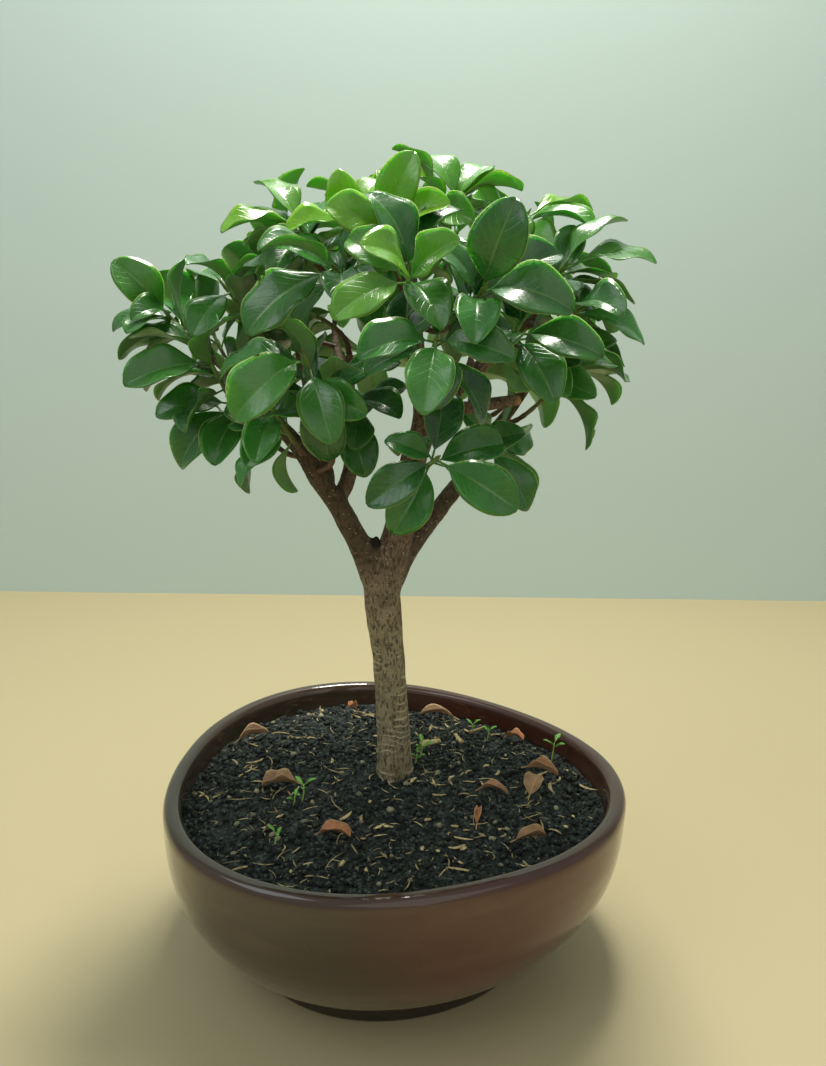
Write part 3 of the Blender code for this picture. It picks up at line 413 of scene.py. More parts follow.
def grow_leaves(stems):
    """Places each wanted leaf where it clears the wood and the leaves before it.

    A leaf that finds no room is turned a little at random, further at each try, then
    shortened, and in the end left out. Returns {shoot: [arguments of leaf_solid]}.
    """
    wood = [resample(np.hstack([path, np.full((len(path), 1), STEM_RADIUS)]), WOOD_STEP)
            for path in stems.values()]
    wood = np.vstack(wood + [resample(path, WOOD_STEP) for path in limb_paths().values()])
    across, along = np.linspace(-1, 1, 5), np.linspace(0.15, 1, 9)[:, None]
    placed, grown = [], {name: [] for name in SHOOTS}
    for name, seed, base, run, top, reach in wanted_leaves(stems):
        dice = random.Random(seed)
        wide = LEAF_WIDE + dice.uniform(*LEAF_WIDE_RANGE)
        arch, fold = dice.uniform(*LEAF_ARCH), dice.uniform(*LEAF_FOLD)
        for attempt in range(LEAF_TRIES):
            size = reach * (1 - SHORTEN * attempt)
            way, face = jittered(run, top, dice, TURN_STEP * attempt)
            blade = leaf_points((base, way, face, size, wide, arch, fold), along, across)
            gaps = np.linalg.norm(blade.reshape(-1, 1, 3) - wood[:, :3], axis=2) - wood[:, 3]
            if gaps.min() < WOOD_CLEAR:
                continue
            wider = (base, way, face, size * LENGTH_CLEAR, wide * WIDTH_CLEAR, arch, fold)
            tree = tree_of(*leaf_solid(wider, TEST_STATIONS, LEAF_THICK + CLEAR))
            middle = blade.mean(axis=(0, 1))
            near = [other for place, other in placed if np.linalg.norm(place - middle) < NEAR]
            if not any(tree.overlap(other) for other in near):
                shape = (base, way, face, size, wide, arch, fold)
                placed.append((middle, tree_of(*leaf_solid(shape, TEST_STATIONS))))
                grown[name].append(shape)
                break
    return grown


# ---------------------------------------------------------------- surfaces

Body = collections.namedtuple("Body", "points quads tris tags")


def lumps(points, cell, seed):
    """Smooth noise from -1 to 1: random numbers at the corners of cubic cells, blended between."""
    table = np.random.default_rng(seed).uniform(-1, 1, 4096)
    place = points / cell
    low = np.floor(place).astype(np.int64)
    part = place - low
    part = part * part * (3 - 2 * part)
    total = np.zeros(points.shape[:-1])
    for corner in itertools.product((0, 1), repeat=3):
        x, y, z = np.moveaxis(low + corner, -1, 0)
        share = np.prod(np.where(np.array(corner) == 1, part, 1 - part), axis=-1)
        total += share * table[(x * 73856093 ^ y * 19349663 ^ z * 83492791) % 4096]
    return total


def rough(points, cell, seed, octaves=3):
    """Lumps over lumps, each half the size and height of the last."""
    return sum(lumps(points, cell / 2**k, seed + k) / 2**k for k in range(octaves))


def ease(x, low, high):
    """0 below low, 1 above high, and a smooth step between; low may be the greater."""
    t = np.clip((x - low) / (high - low), 0, 1)
    return t * t * (3 - 2 * t)


def tube_body(rings, **tags):
    """Closed body from rings of points (ring, point, xyz): quads between rings, a fan over each end.

    A tag is one number, or one for each ring point. Faces are turned to point outwards.
    """
    count, around = rings.shape[:2]
    edge, after = np.arange(around), (np.arange(around) + 1) % around
    start = np.arange(count - 1)[:, None] * around
    quads = np.stack([start + edge, start + after, start + after + around,
                      start + edge + around], axis=-1).reshape(-1, 4)
    last = (count - 1) * around
    hub = np.full(around, count * around)
    tris = np.vstack([np.stack([after, edge, hub], axis=-1),
                      np.stack([last + edge, last + after, hub + 1], axis=-1)])
    points = np.vstack([rings.reshape(-1, 3), rings[0].mean(0), rings[-1].mean(0)])
    whole = np.vstack([quads[:, [0, 1, 2]], quads[:, [0, 2, 3]], tris])
    if np.linalg.det(points[whole] - points.mean(0)).sum() < 0:
        quads, tris = quads[:, ::-1], tris[:, ::-1]
    spread = {}
    for tag, values in tags.items():
        values = np.broadcast_to(values, (count, around))
        spread[tag] = np.concatenate([values.reshape(-1), [values[0].mean(), values[-1].mean()]])
    return Body(points, quads, tris, spread)


def join(bodies):
    """One body of several: each one's faces are numbered on from the last."""
    starts = np.cumsum([0] + [len(b.points) for b in bodies[:-1]])
    return Body(np.vstack([b.points for b in bodies]),
                np.vstack([b.quads + s for b, s in zip(bodies, starts)]),
                np.vstack([b.tris + s for b, s in zip(bodies, starts)]),
                {tag: np.concatenate([b.tags[tag] for b in bodies]) for tag in bodies[0].tags})


def mesh_of(name, body):
    mesh = bpy.data.meshes.new(name)
    mesh.from_pydata(body.points.tolist(), [], body.quads.tolist() + body.tris.tolist())
    for tag, values in body.tags.items():
        mesh.attributes.new(tag, "FLOAT", "POINT").data.foreach_set("value", values.astype(np.float32))
    mesh.shade_smooth()
    return mesh


def add_piece(name, mesh, finish, slot, *nodes):
    """Shows the mesh in place of its CAD nodes."""
    mesh.materials.append(finish)
    piece = bpy.data.objects.new(name, mesh)
    bpy.context.scene.collection.objects.link(piece)
    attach(piece, "root")
    if nodes:
        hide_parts(*nodes)
    return piece


def points_of(mesh):
    made = np.empty(len(mesh.vertices) * 3, np.float32)
    mesh.vertices.foreach_get("co", made)
    return made.reshape(-1, 3).astype(float)


def with_modifiers(mesh, *steps):
    """The mesh after the modifiers (type, settings)."""
    guide = bpy.data.objects.new("guide", mesh)
    bpy.context.scene.collection.objects.link(guide)
    for kind, settings in steps:
        step = guide.modifiers.new(kind.title(), kind)
        for key, value in settings.items():
            setattr(step, key, value)
    graph = bpy.context.evaluated_depsgraph_get()
    made = bpy.data.meshes.new_from_object(guide.evaluated_get(graph))
    bpy.data.objects.remove(guide)
    return made


def around_path(path, sides, aside=(0.1, 0.25, 1.0), squash=1.0):
    """Rings around a path (x, y, z, radius): circles square to it, whose height may be squashed."""
    along = np.gradient(path[:, :3], axis=0)
    along /= np.linalg.norm(along, axis=1)[:, None]
    across = np.cross(along, aside)
    across /= np.linalg.norm(across, axis=1)[:, None]
    up = np.cross(across, along)
    angle = np.linspace(0, 2 * math.pi, sides, endpoint=False)[:, None]
    ring = across[:, None] * np.cos(angle) + up[:, None] * np.sin(angle) * squash
    return path[:, None, :3] + ring * path[:, 3, None, None]


# ---------------------------------------------------------------- materials


SMOOTH = {"interpolation_type": "SMOOTHSTEP"}  # how a MapRange goes from one end to the other
COLOURS = {"data_type": "RGBA"}  # what a Mix mixes


def node(tree, kind, inputs=(), **settings):
    """Adds a shader node and returns its outputs.

    An input is a plain value or the output of another node.
    """
    made = tree.nodes.new("ShaderNode" + kind)
    for key, value in settings.items():
        setattr(made, key, value)
    for key, value in dict(inputs).items():
        if isinstance(value, bpy.types.NodeSocket):
            tree.links.new(value, made.inputs[key])
        else:
            made.inputs[key].default_value = value
    return made.outputs


def start_material(name, **constants):
    """A Principled material with the given constants on its sockets: (material, tree, shader)."""
    made = bpy.data.materials.new(name)
    made.use_nodes = True
    shader = made.node_tree.nodes["Principled BSDF"]
    for key, value in constants.items():
        shader.inputs[key.replace("_", " ")].default_value = value
    return made, made.node_tree, shader


def linear(hex_colour):
    """The linear RGBA value of an sRGB hex colour."""
    parts = [int(hex_colour[i:i + 2], 16) / 255 for i in (1, 3, 5)]
    return [p / 12.92 if p <= 0.04045 else ((p + 0.055) / 1.055) ** 2.4 for p in parts] + [1]


def washes(tree, colour, *layers):
    """Lays colours over one another, each (value, low, high, most, hex).

    As the value goes from low to high, the hex colour comes to cover the share most of what
    lies under it.
    """
    for value, low, high, most, tint in layers:
        share = node(tree, "MapRange", {0: value, 1: low, 2: high, 4: most}, **SMOOTH)[0]
        colour = node(tree, "Mix", {0: share, 6: colour, 7: linear(tint)}, **COLOURS)[2]
    return colour


def glazed_stoneware():
    """Thrown stoneware dipped in an iron glaze: dark brown, pooled with olive and red, glass-bright."""
    made, tree, shader = start_material("iron_glaze_stoneware", Specular_IOR_Level=0.15, Coat_Weight=1.0,
                                        Coat_Roughness=0.035, Coat_IOR=1.55)
    place = node(tree, "TexCoord")["Object"]
    spot = node(tree, "SeparateXYZ", {0: place})
    pools = node(tree, "TexNoise", {"Vector": place, "Scale": 1 / 0.060, "Detail": 2.0,
                                    "Roughness": 0.45})["Fac"]
    brushed = node(tree, "TexNoise", {"Vector": node(tree, "Mapping", {
        "Vector": place, "Scale": (1, 1, 5)})[0], "Scale": 1 / 0.045, "Detail": 6.0})["Fac"]
    grains = node(tree, "TexNoise", {"Vector": place, "Scale": 1 / 0.0012, "Detail": 2.0})["Fac"]
    rightward = node(tree, "MapRange", {0: spot["X"], 1: -0.060, 2: 0.070}, **SMOOTH)[0]
    red = node(tree, "MapRange", {0: node(tree, "Math", {0: rightward, 1: pools}, operation="ADD")[0],
            1: 0.60, 2: 1.45}, **SMOOTH)[0]
    colour = node(tree, "Mix", {0: red, 6: linear("#453929"), 7: linear("#573023")}, **COLOURS)[2]
    colour = washes(
        tree, colour,
        (brushed, 0.42, 0.72, 0.35, "#6B503C"),
        (pools, 0.50, 0.80, 0.3, "#34281E"),
        (grains, 0.62, 0.75, 0.18, "#6E5C44"),
        (spot["Z"], 0.083, 0.089, 0.6, "#3E2720"),
        # painted shade: the foot and waist below the belly turn near-black #2B241B, standing for the shadow
        # under the bowl
        (spot["Z"], 0.0098, 0.0082, 1.0, "#2B241B"))
    scratch = node(tree, "TexNoise", {"Vector": node(tree, "Mapping", {
        "Vector": place, "Rotation": (0.0, 0.12, 0.0), "Scale": (0.12, 0.12, 3.0)})[0],
        "Scale": 1 / 0.0016, "Detail": 2.0})["Fac"]
    low = node(tree, "Math", {0: node(tree, "MapRange", {0: spot["Z"], 1: 0.030, 2: 0.020}, **SMOOTH)[0],
            1: node(tree, "MapRange", {0: scratch, 1: 0.66, 2: 0.72}, **SMOOTH)[0]},
            operation="MULTIPLY")[0]
    colour = washes(tree, colour, (low, 0.0, 1.0, 0.35, "#8A7A66"))
    tree.links.new(colour, shader.inputs["Base Color"])
    tree.links.new(node(tree, "MapRange", {0: brushed, 1: 0.3, 2: 0.8, 3: 0.30, 4: 0.50}, **SMOOTH)[0],
            shader.inputs["Roughness"])
    peel = node(tree, "TexNoise", {"Vector": place, "Scale": 1 / 0.010, "Detail": 2.0})["Fac"]
    tree.links.new(node(tree, "Bump", {"Height": peel, "Strength": 0.08,
                                       "Distance": 0.0008})["Normal"], shader.inputs["Normal"])
    return made


def potting_soil():
    """Moist peat compost: nearly black crumbs with a cool cast and dull, glinting grains."""
    made, tree, shader = start_material("peat_compost", Specular_IOR_Level=0.35)
    place = node(tree, "TexCoord")["Object"]
    tone = node(tree, "Attribute", attribute_name="tone")["Fac"]
    clumps = node(tree, "TexNoise", {"Vector": place, "Scale": 1 / 0.009, "Detail": 6.0,
                                     "Roughness": 0.7})["Fac"]
    grit = node(tree, "TexVoronoi", {"Vector": place, "Scale": 1 / 0.0013})["Color"]
    grain = node(tree, "SeparateColor", {0: grit})[0]
    colour = washes(
        tree, linear("#151917"),
        (clumps, 0.35, 0.7, 1.0, "#333A35"),
        (grain, 0.74, 0.98, 0.45, "#6B736B"))
    colour = node(tree, "Mix", {0: tone, 6: colour, 7: linear("#BDB691")}, **COLOURS)[2]
    tree.links.new(colour, shader.inputs["Base Color"])
    tree.links.new(node(tree, "MapRange", {0: grain, 1: 0.1, 2: 0.9, 3: 0.95, 4: 0.6}, **SMOOTH)[0],
            shader.inputs["Roughness"])
    height = node(tree, "TexNoise", {"Vector": place, "Scale": 1 / 0.0011, "Detail": 4.0})["Fac"]
    tree.links.new(node(tree, "Bump", {"Height": height, "Strength": 0.9,
                                       "Distance": 0.0008})["Normal"], shader.inputs["Normal"])
    return made


def fig_bark():
    """Thin fig bark: grey-olive and finely ringed at the foot, redder above, with pale lenticels."""
    made, tree, shader = start_material("fig_bark", Specular_IOR_Level=0.3)
    place = node(tree, "TexCoord")["Object"]
    spot = node(tree, "SeparateXYZ", {0: place})
    ring, sawn, crust, shade = (node(tree, "Attribute", attribute_name=tag)["Fac"]
                                for tag in ("ring", "sawn", "crust", "shade"))
    cloud = node(tree, "TexNoise", {"Vector": place, "Scale": 1 / 0.010, "Detail": 5.0,
                                    "Roughness": 0.65})["Fac"]
    fine = node(tree, "TexNoise", {"Vector": node(tree, "Mapping", {
        "Vector": place, "Scale": (1, 1, 0.45)})[0], "Scale": 1 / 0.0013, "Detail": 4.0})["Fac"]
    high = node(tree, "MapRange", {0: spot["Z"], 1: 0.150, 2: 0.215}, **SMOOTH)[0]
    colour = node(tree, "Mix", {0: high, 6: linear("#A39675"), 7: linear("#86705F")}, **COLOURS)[2]
    # painted shade: limbs inside the crown darkened towards #54483A by the shade tag
    colour = node(tree, "Mix", {0: shade, 6: colour, 7: linear("#54483A")}, **COLOURS)[2]
    colour = washes(
        tree, colour,
        (cloud, 0.42, 0.66, 0.50, "#544A3A"),
        (fine, 0.45, 0.66, 0.8, "#3B3224"))
    dots = node(tree, "TexVoronoi", {"Vector": node(tree, "Mapping", {
        "Vector": place, "Scale": (0.75, 0.75, 1.2)})[0], "Scale": 1 / 0.0019})
    chosen = node(tree, "SeparateColor", {0: dots["Color"]})[0]
    dot = node(tree, "Math", {0: node(tree, "MapRange", {0: dots["Distance"], 1: 0.30, 2: 0.12},
            **SMOOTH)[0], 1: node(tree, "MapRange", {0: chosen, 1: 0.45, 2: 0.55}, **SMOOTH)[0]},
            operation="MULTIPLY")[0]
    colour = washes(
        tree, colour,
        (dot, 0.0, 1.0, 0.65, "#C4B496"),
        (ring, 0.10, 0.8, 0.85, "#CFC49E"))
    colour = node(tree, "Mix", {0: crust, 6: colour, 7: linear("#1F1B15")}, **COLOURS)[2]
    colour = node(tree, "Mix", {0: sawn, 6: colour, 7: linear("#B08C5A")}, **COLOURS)[2]
    tree.links.new(colour, shader.inputs["Base Color"])
    tree.links.new(node(tree, "MapRange", {0: cloud, 1: 0.3, 2: 0.7, 3: 0.62, 4: 0.85}, **SMOOTH)[0],
            shader.inputs["Roughness"])
    height = node(tree, "Math", {0: fine, 1: dot}, operation="ADD")[0]
    tree.links.new(node(tree, "Bump", {"Height": height, "Strength": 0.55,
                                       "Distance": 0.0005})["Normal"], shader.inputs["Normal"])
    return made


def side_veins(tree, side, along, pairs):
    """1 on a leaf's side veins, which leave the midrib at a slant towards the tip, and 0 between."""
    slanted = node(tree, "Math", {0: side, 1: -0.30, 2: along}, operation="MULTIPLY_ADD")[0]
    turns = node(tree, "Math", {0: slanted, 1: pairs}, operation="MULTIPLY")[0]
    phase = node(tree, "Math", {0: turns}, operation="FRACT")[0]
    middle = node(tree, "Math", {0: phase, 1: 0.5}, operation="SUBTRACT")[0]
    return node(tree, "MapRange", {0: node(tree, "Math", {0: middle}, operation="ABSOLUTE")[0], 1: 0.10,
            2: 0.0}, **SMOOTH)[0]


def waxy_leaf():
    """Leathery fig leaf: a waxed upper side that mirrors the light, a paler matt underside.

    The tag age runs from dark old leaves (0) to thin lime-green new ones (1).
    """
    made, tree, shader = start_material(
        "waxy_fig_leaf", IOR=1.48, Subsurface_Weight=0.35, Subsurface_Radius=(0.35, 1.0, 0.10),
        Subsurface_Scale=0.0014, Coat_Weight=0.35, Coat_Roughness=0.16)
    along, across, under, age, tint = (node(tree, "Attribute", attribute_name=tag)["Fac"]
                                       for tag in ("along", "across", "under", "age", "tint"))
    place = node(tree, "TexCoord")["Object"]
    side = node(tree, "Math", {0: across}, operation="ABSOLUTE")[0]
    colour = node(tree, "Mix", {0: tint, 6: linear("#1B4A22"), 7: linear("#3A8030")}, **COLOURS)[2]
    young = node(tree, "Mix", {0: tint, 6: linear("#4C9A1E"), 7: linear("#86BE24")}, **COLOURS)[2]
    colour = node(tree, "Mix", {0: node(tree, "MapRange", {0: age}, **SMOOTH)[0], 6: colour, 7: young},
            **COLOURS)[2]
    mottle = node(tree, "TexNoise", {"Vector": place, "Scale": 1 / 0.012, "Detail": 3.0})["Fac"]
    colour = washes(tree, colour, (mottle, 0.40, 0.75, 0.30, "#4E8C3A"))
    vein = side_veins(tree, side, along, 9.0)
    colour = washes(tree, colour, (vein, 0.0, 1.0, 0.08, "#8DB86A"))
    midrib = node(tree, "MapRange", {0: side, 1: 0.06, 2: 0.01}, **SMOOTH)[0]
    colour = washes(
        tree, colour,
        (midrib, 0.0, 1.0, 0.28, "#8DB45C"),
        (under, 0.0, 1.0, 0.45, "#7FA567"))
    margin = node(tree, "MapRange", {0: side, 1: 0.955, 2: 0.985}, **SMOOTH)[0]
    colour = washes(tree, colour, (margin, 0.0, 1.0, 0.80, "#A9C872"))
    tree.links.new(colour, shader.inputs["Base Color"])
    smears = node(tree, "TexNoise", {"Vector": place, "Scale": 1 / 0.007, "Detail": 3.0})["Fac"]
    gloss = node(tree, "MapRange", {0: smears, 1: 0.3, 2: 0.7, 3: 0.20, 4: 0.36}, **SMOOTH)[0]
    gloss = node(tree, "Math", {0: under, 1: 0.25, 2: gloss}, operation="MULTIPLY_ADD")[0]
    tree.links.new(gloss, shader.inputs["Roughness"])
    cells = node(tree, "TexNoise", {"Vector": place, "Scale": 1 / 0.0016, "Detail": 2.0})["Fac"]
    height = node(tree, "Math", {0: vein, 1: -0.5, 2: cells}, operation="MULTIPLY_ADD")[0]
    tree.links.new(node(tree, "Bump", {"Height": height, "Strength": 0.30,
                                       "Distance": 0.0004})["Normal"], shader.inputs["Normal"])
    return made


def shoot_skin():
    """Young shoots: brown bark near the limb, green skin towards the bud."""
    made, tree, shader = start_material("shoot_skin", Roughness=0.55)
    fresh = node(tree, "Attribute", attribute_name="fresh")["Fac"]
    place = node(tree, "TexCoord")["Object"]
    cloud = node(tree, "TexNoise", {"Vector": place, "Scale": 1 / 0.003, "Detail": 4.0})["Fac"]
    colour = washes(
        tree, linear("#6B5040"),
        (fresh, 0.35, 0.9, 1.0, "#6F8C3C"),
        (cloud, 0.4, 0.7, 0.6, "#4A3A2C"))
    tree.links.new(colour, shader.inputs["Base Color"])
    tree.links.new(node(tree, "Bump", {"Height": cloud, "Strength": 0.5,
                                       "Distance": 0.0003})["Normal"], shader.inputs["Normal"])
    return made


def dried_leaf():
    """Shed leaves dried hard: from grey-brown (tone 0) to orange (tone 1), darker at the veins."""
    made, tree, shader = start_material("dried_leaf", Roughness=0.6, Subsurface_Weight=0.1,
                                        Subsurface_Scale=0.0008)
    along, across, under, tone = (node(tree, "Attribute", attribute_name=tag)["Fac"]
                                  for tag in ("along", "across", "under", "tone"))
    place = node(tree, "TexCoord")["Object"]
    side = node(tree, "Math", {0: across}, operation="ABSOLUTE")[0]
    cloud = node(tree, "TexNoise", {"Vector": place, "Scale": 1 / 0.006, "Detail": 5.0})["Fac"]
    colour = node(tree, "Mix", {0: tone, 6: linear("#A08B6A"), 7: linear("#C98556")}, **COLOURS)[2]
    colour = washes(
        tree, colour,
        (cloud, 0.42, 0.7, 0.6, "#6B4A30"),
        (under, 0.0, 1.0, 0.35, "#C9A273"))
    vein = side_veins(tree, side, along, 8.0)
    colour = washes(
        tree, colour,
        (vein, 0.0, 1.0, 0.3, "#5A3E2A"),
        (side, 0.10, 0.0, 0.6, "#D8B583"),
        (side, 0.85, 0.98, 0.7, "#DDB988"))
    tree.links.new(colour, shader.inputs["Base Color"])
    height = node(tree, "Math", {0: vein, 1: cloud}, operation="ADD")[0]
    tree.links.new(node(tree, "Bump", {"Height": height, "Strength": 0.5,
                                       "Distance": 0.0005})["Normal"], shader.inputs["Normal"])
    return made


def weathered_wood():
    """Straw, bark slivers and chips bleached on the soil: tan to grey, with fine fibres."""
    made, tree, shader = start_material("weathered_wood", Roughness=0.8)
    tone = node(tree, "Attribute", attribute_name="tone")["Fac"]
    place = node(tree, "TexCoord")["Object"]
    fibres = node(tree, "TexNoise", {"Vector": node(tree, "Mapping", {
        "Vector": place, "Scale": (1, 0.3, 1)})[0], "Scale": 1 / 0.0012, "Detail": 4.0})["Fac"]
    colour = node(tree, "Mix", {0: tone, 6: linear("#6E5F42"), 7: linear("#E0CB93")}, **COLOURS)[2]
    colour = washes(tree, colour, (fibres, 0.4, 0.7, 0.6, "#594632"))
    tree.links.new(colour, shader.inputs["Base Color"])
    tree.links.new(node(tree, "Bump", {"Height": fibres, "Strength": 0.6,
                                       "Distance": 0.0003})["Normal"], shader.inputs["Normal"])
    return made


def seedling_skin():
    """Weed seedlings: thin, bright and soft."""
    made, tree, shader = start_material("seedling_skin", Roughness=0.45, Subsurface_Weight=0.3,
                                        Subsurface_Radius=(0.4, 1.0, 0.1), Subsurface_Scale=0.001)
    across = node(tree, "Attribute", attribute_name="across")["Fac"]
    side = node(tree, "Math", {0: across}, operation="ABSOLUTE")[0]
    colour = washes(tree, linear("#5FA03A"), (side, 0.4, 0.0, 1.0, "#A6CC6A"))
    tree.links.new(colour, shader.inputs["Base Color"])
    return made


# ---------------------------------------------------------------- pot


POT_SIDES = 288
DRAINS = 3


def pot_profile():
    """(share of the plan radius, height) from the inner floor's middle, over the lip, to the foot's middle.

    The outer wall is that of bowl_share, the lip half an ellipse, and the inner wall the
    outer one less the wall's thickness.
    """
    lip_bottom, wall = POT_HEIGHT - LIP_HEIGHT, WALL / POT_RADIUS
    climb = np.linspace(FLOOR + CORNER, lip_bottom, 24)
    corner = inner_share(climb[0])
    bend = np.linspace(0, math.pi / 2, 7)[:-1]
    floor = [(corner * t, FLOOR) for t in np.linspace(0.05, 0.85, 8)]
    inside = [(corner - 0.06 + 0.06 * math.sin(a), FLOOR + CORNER * (1 - math.cos(a))) for a in bend]
    inside += list(zip(inner_share(climb), climb))
    over = np.linspace(math.pi, 0, 26)[1:-1]
    lip = [(1 - wall / 2 + wall / 2 * math.copysign(abs(math.cos(a)) ** 0.82, math.cos(a)),
            lip_bottom + LIP_HEIGHT * math.sin(a) ** 0.82) for a in over]
    fall = FOOT_HEIGHT + 0.0010 + (lip_bottom - FOOT_HEIGHT - 0.0010) * np.linspace(1, 0, 44) ** 1.3
    outside = list(zip(bowl_share(fall, BELLY_SHARE), fall))
    foot = FOOT_SHARE
    waist = [(BELLY_SHARE + 0.001, FOOT_HEIGHT + 0.0002), (BELLY_SHARE - 0.004, FOOT_HEIGHT - 0.0003),
             (foot + 0.001, FOOT_HEIGHT - 0.0012), (foot, 0.0050), (foot, 0.0016),
             (foot - 0.004, 0.0004), (foot - 0.010, 0.0)]
    under = [(foot - 0.07, 0.0), (foot - 0.08, 0.0010), (foot - 0.09, 0.0016)]
    under += [(foot * t, 0.0016) for t in np.linspace(0.8, 0.05, 8)]
    return np.array(floor + inside + lip + outside + waist + under)


def make_pot(finish):
    """The profile turned round the plan, with the unevenness that throwing and firing leave."""
    profile = pot_profile()
    angle = np.linspace(0, 2 * math.pi, POT_SIDES, endpoint=False)
    share, height = profile[:, 0, None], profile[:, 1, None]
    radius = share * POT_RADIUS * pressed(angle, height)
    rings = np.stack([radius * np.cos(angle), radius * np.sin(angle),
                      np.broadcast_to(height, radius.shape)], axis=-1)
    throwing = 0.00003 * np.sin(2 * math.pi * height / 0.0075 + 0.6 * np.sin(angle))
    swell = 0.0005 * lumps(rings, 0.050, 3) + 0.00012 * lumps(rings, 0.014, 4)
    wall = ease(share, 0.60, 0.70)
    outward = np.stack([np.cos(angle), np.sin(angle), 0 * angle], axis=-1)
    rings = rings + ((throwing * ease(height, 0.084, 0.070) + swell) * wall)[..., None] * outward
    rings[..., 2] += 0.0004 * lumps(rings, 0.060, 6) * ease(height, 0.075, 0.088)
    drills = bpy.data.meshes.new("drain_drills")
    shape = bmesh.new()
    for k in range(DRAINS):
        a = math.radians(360 / DRAINS * k + 30)
        bmesh.ops.create_cone(shape, cap_ends=True, segments=32, radius1=DRAIN_RADIUS,
                              radius2=DRAIN_RADIUS, depth=0.05,
                              matrix=Matrix.Translation((DRAIN_RING * math.cos(a),
                                                         DRAIN_RING * math.sin(a), FLOOR / 2)))
    shape.to_mesh(drills)
    shape.free()
    cutter = bpy.data.objects.new("drain_drills", drills)
    bpy.context.scene.collection.objects.link(cutter)
    mesh = with_modifiers(mesh_of("pot_bowl", tube_body(rings)),
                          ("BOOLEAN", {"operation": "DIFFERENCE", "object": cutter}))
    bpy.data.objects.remove(cutter)
    mesh.shade_smooth()
    mesh.set_sharp_from_angle(angle=math.radians(50))
    return add_piece("pot_bowl", mesh, finish, "glaze", "pot")


# ---------------------------------------------------------------- soil


SOIL_SIDES, SOIL_RINGS = 400, 104
CRUMBS = 7000


def soil_height(x, y):
    """Height of the soil: a low mound, highest near the trunk, with clods and crumbs."""
    angle = np.arctan2(y, x)
    edge = inner_share(SOIL_EDGE) * POT_RADIUS * pressed(angle, SOIL_EDGE)
    s = np.clip(np.hypot(x, y) / edge, 0, 1)
    flat = np.stack([x, y, 0 * x], axis=-1)
    mound = SOIL_EDGE + (SOIL_MIDDLE - SOIL_EDGE) * (1 - s**MOUND_POWER)
    clods = 0.0013 * lumps(flat, 0.016, 11) + 0.0012 * lumps(flat, 0.0065, 12)
    crumbs = 0.0012 * np.abs(lumps(flat, 0.0032, 13)) + 0.0006 * lumps(flat, 0.0015, 14)
    return mound + clods + crumbs - 0.0008


def make_soil(finish):
    """Rings from the middle to the wall over the height field, then down the wall to the floor."""
    angle = np.linspace(0, 2 * math.pi, SOIL_SIDES, endpoint=False)
    edge = (inner_share(SOIL_EDGE) * POT_RADIUS - 0.0001) * pressed(angle, SOIL_EDGE)
    share = np.linspace(0.01, 1, SOIL_RINGS)[:, None] ** 0.8
    x, y = share * edge * np.cos(angle), share * edge * np.sin(angle)
    top = np.stack([x, y, soil_height(x, y)], axis=-1)
    down = np.linspace(SOIL_EDGE - 0.004, FLOOR + 0.012, 8)[:, None]
    radius = (inner_share(down) * POT_RADIUS - 0.0004) * pressed(angle, down)
    side = np.stack([radius * np.cos(angle), radius * np.sin(angle), down + 0 * radius], axis=-1)
    base = side[-1:] * (0.85, 0.85, 0) + (0, 0, FLOOR + 0.0006)
    rings = np.vstack([top, side, base])
    add_piece("soil_bed", mesh_of("soil_bed", tube_body(rings, tone=0.0)), finish, "soil", "soil")
    add_piece("soil_crumbs", mesh_of("soil_crumbs", crumbs(CRUMBS)), finish, "soil", "soil")


def ico():
    """Points and faces of an icosahedron of radius 1."""
    shape = bmesh.new()
    bmesh.ops.create_icosphere(shape, subdivisions=1, radius=1)
    points = np.array([v.co for v in shape.verts])
    faces = np.array([[v.index for v in f.verts] for f in shape.faces])
    shape.free()
    return points, faces


def scatter(count, dice, inset):
    """Random places on the soil, spread evenly over its area and clear of the wall and trunk."""
    angle, s = dice.uniform(0, 2 * math.pi, 2 * count), np.sqrt(dice.uniform(0, 1, 2 * count))
    edge = inner_share(SOIL_EDGE) * POT_RADIUS * pressed(angle, SOIL_EDGE) - inset
    x, y = s * edge * np.cos(angle), s * edge * np.sin(angle)
    free = np.hypot(x - LIMBS["trunk"][1][0], y - LIMBS["trunk"][1][1]) > 0.0098 + inset / 2
    return x[free][:count], y[free][:count]


def crumbs(count):
    """Loose crumbs: icosahedra squashed, turned and dented at random, half sunk in the bed."""
    dice = np.random.default_rng(21)
    points, faces = ico()
    x, y = scatter(count, dice, 0.0022)
    size = 0.0005 + 0.0017 * dice.uniform(0, 1, (count, 1, 1)) ** 3.0
    turned = points @ np.linalg.qr(dice.normal(size=(count, 3, 3)))[0]
    dented = turned * dice.uniform(0.65, 1.2, (count, len(points), 1)) * size * (1, 1, 0.75)
    place = np.stack([x, y, soil_height(x, y) + 0.35 * size[:, 0, 0]], axis=-1)
    cloud = (dented + place[:, None]).reshape(-1, 3)
    tris = (faces + len(points) * np.arange(count)[:, None, None]).reshape(-1, 3)
    flip = np.linalg.det(dented[:, faces[0]]) < 0
    tris = tris.reshape(count, -1, 3)
    tris[flip] = tris[flip][..., ::-1]
    pale = np.repeat(np.where(dice.uniform(0, 1, count) > 0.975, dice.uniform(0.3, 0.8, count), 0.0),
                     len(points))
    return Body(cloud, np.zeros((0, 4), int), tris.reshape(-1, 3), {"tone": pale})


# ---------------------------------------------------------------- tree


BARK_VOXEL = 0.00075


def limb_body(path):
    """A limb's skin: rings of 20 points along a smoothed path, with a domed end."""
    fine = smooth_path(path, 10)
    end = unit(fine[-1, :3] - fine[-2, :3])
    radius = fine[-1, 3]
    dome = [np.append(fine[-1, :3] + end * radius * 0.6 * math.sin(a), radius * math.cos(a))
            for a in np.radians([30, 55, 78])]
    return tube_body(around_path(np.vstack([fine, dome]), 20))


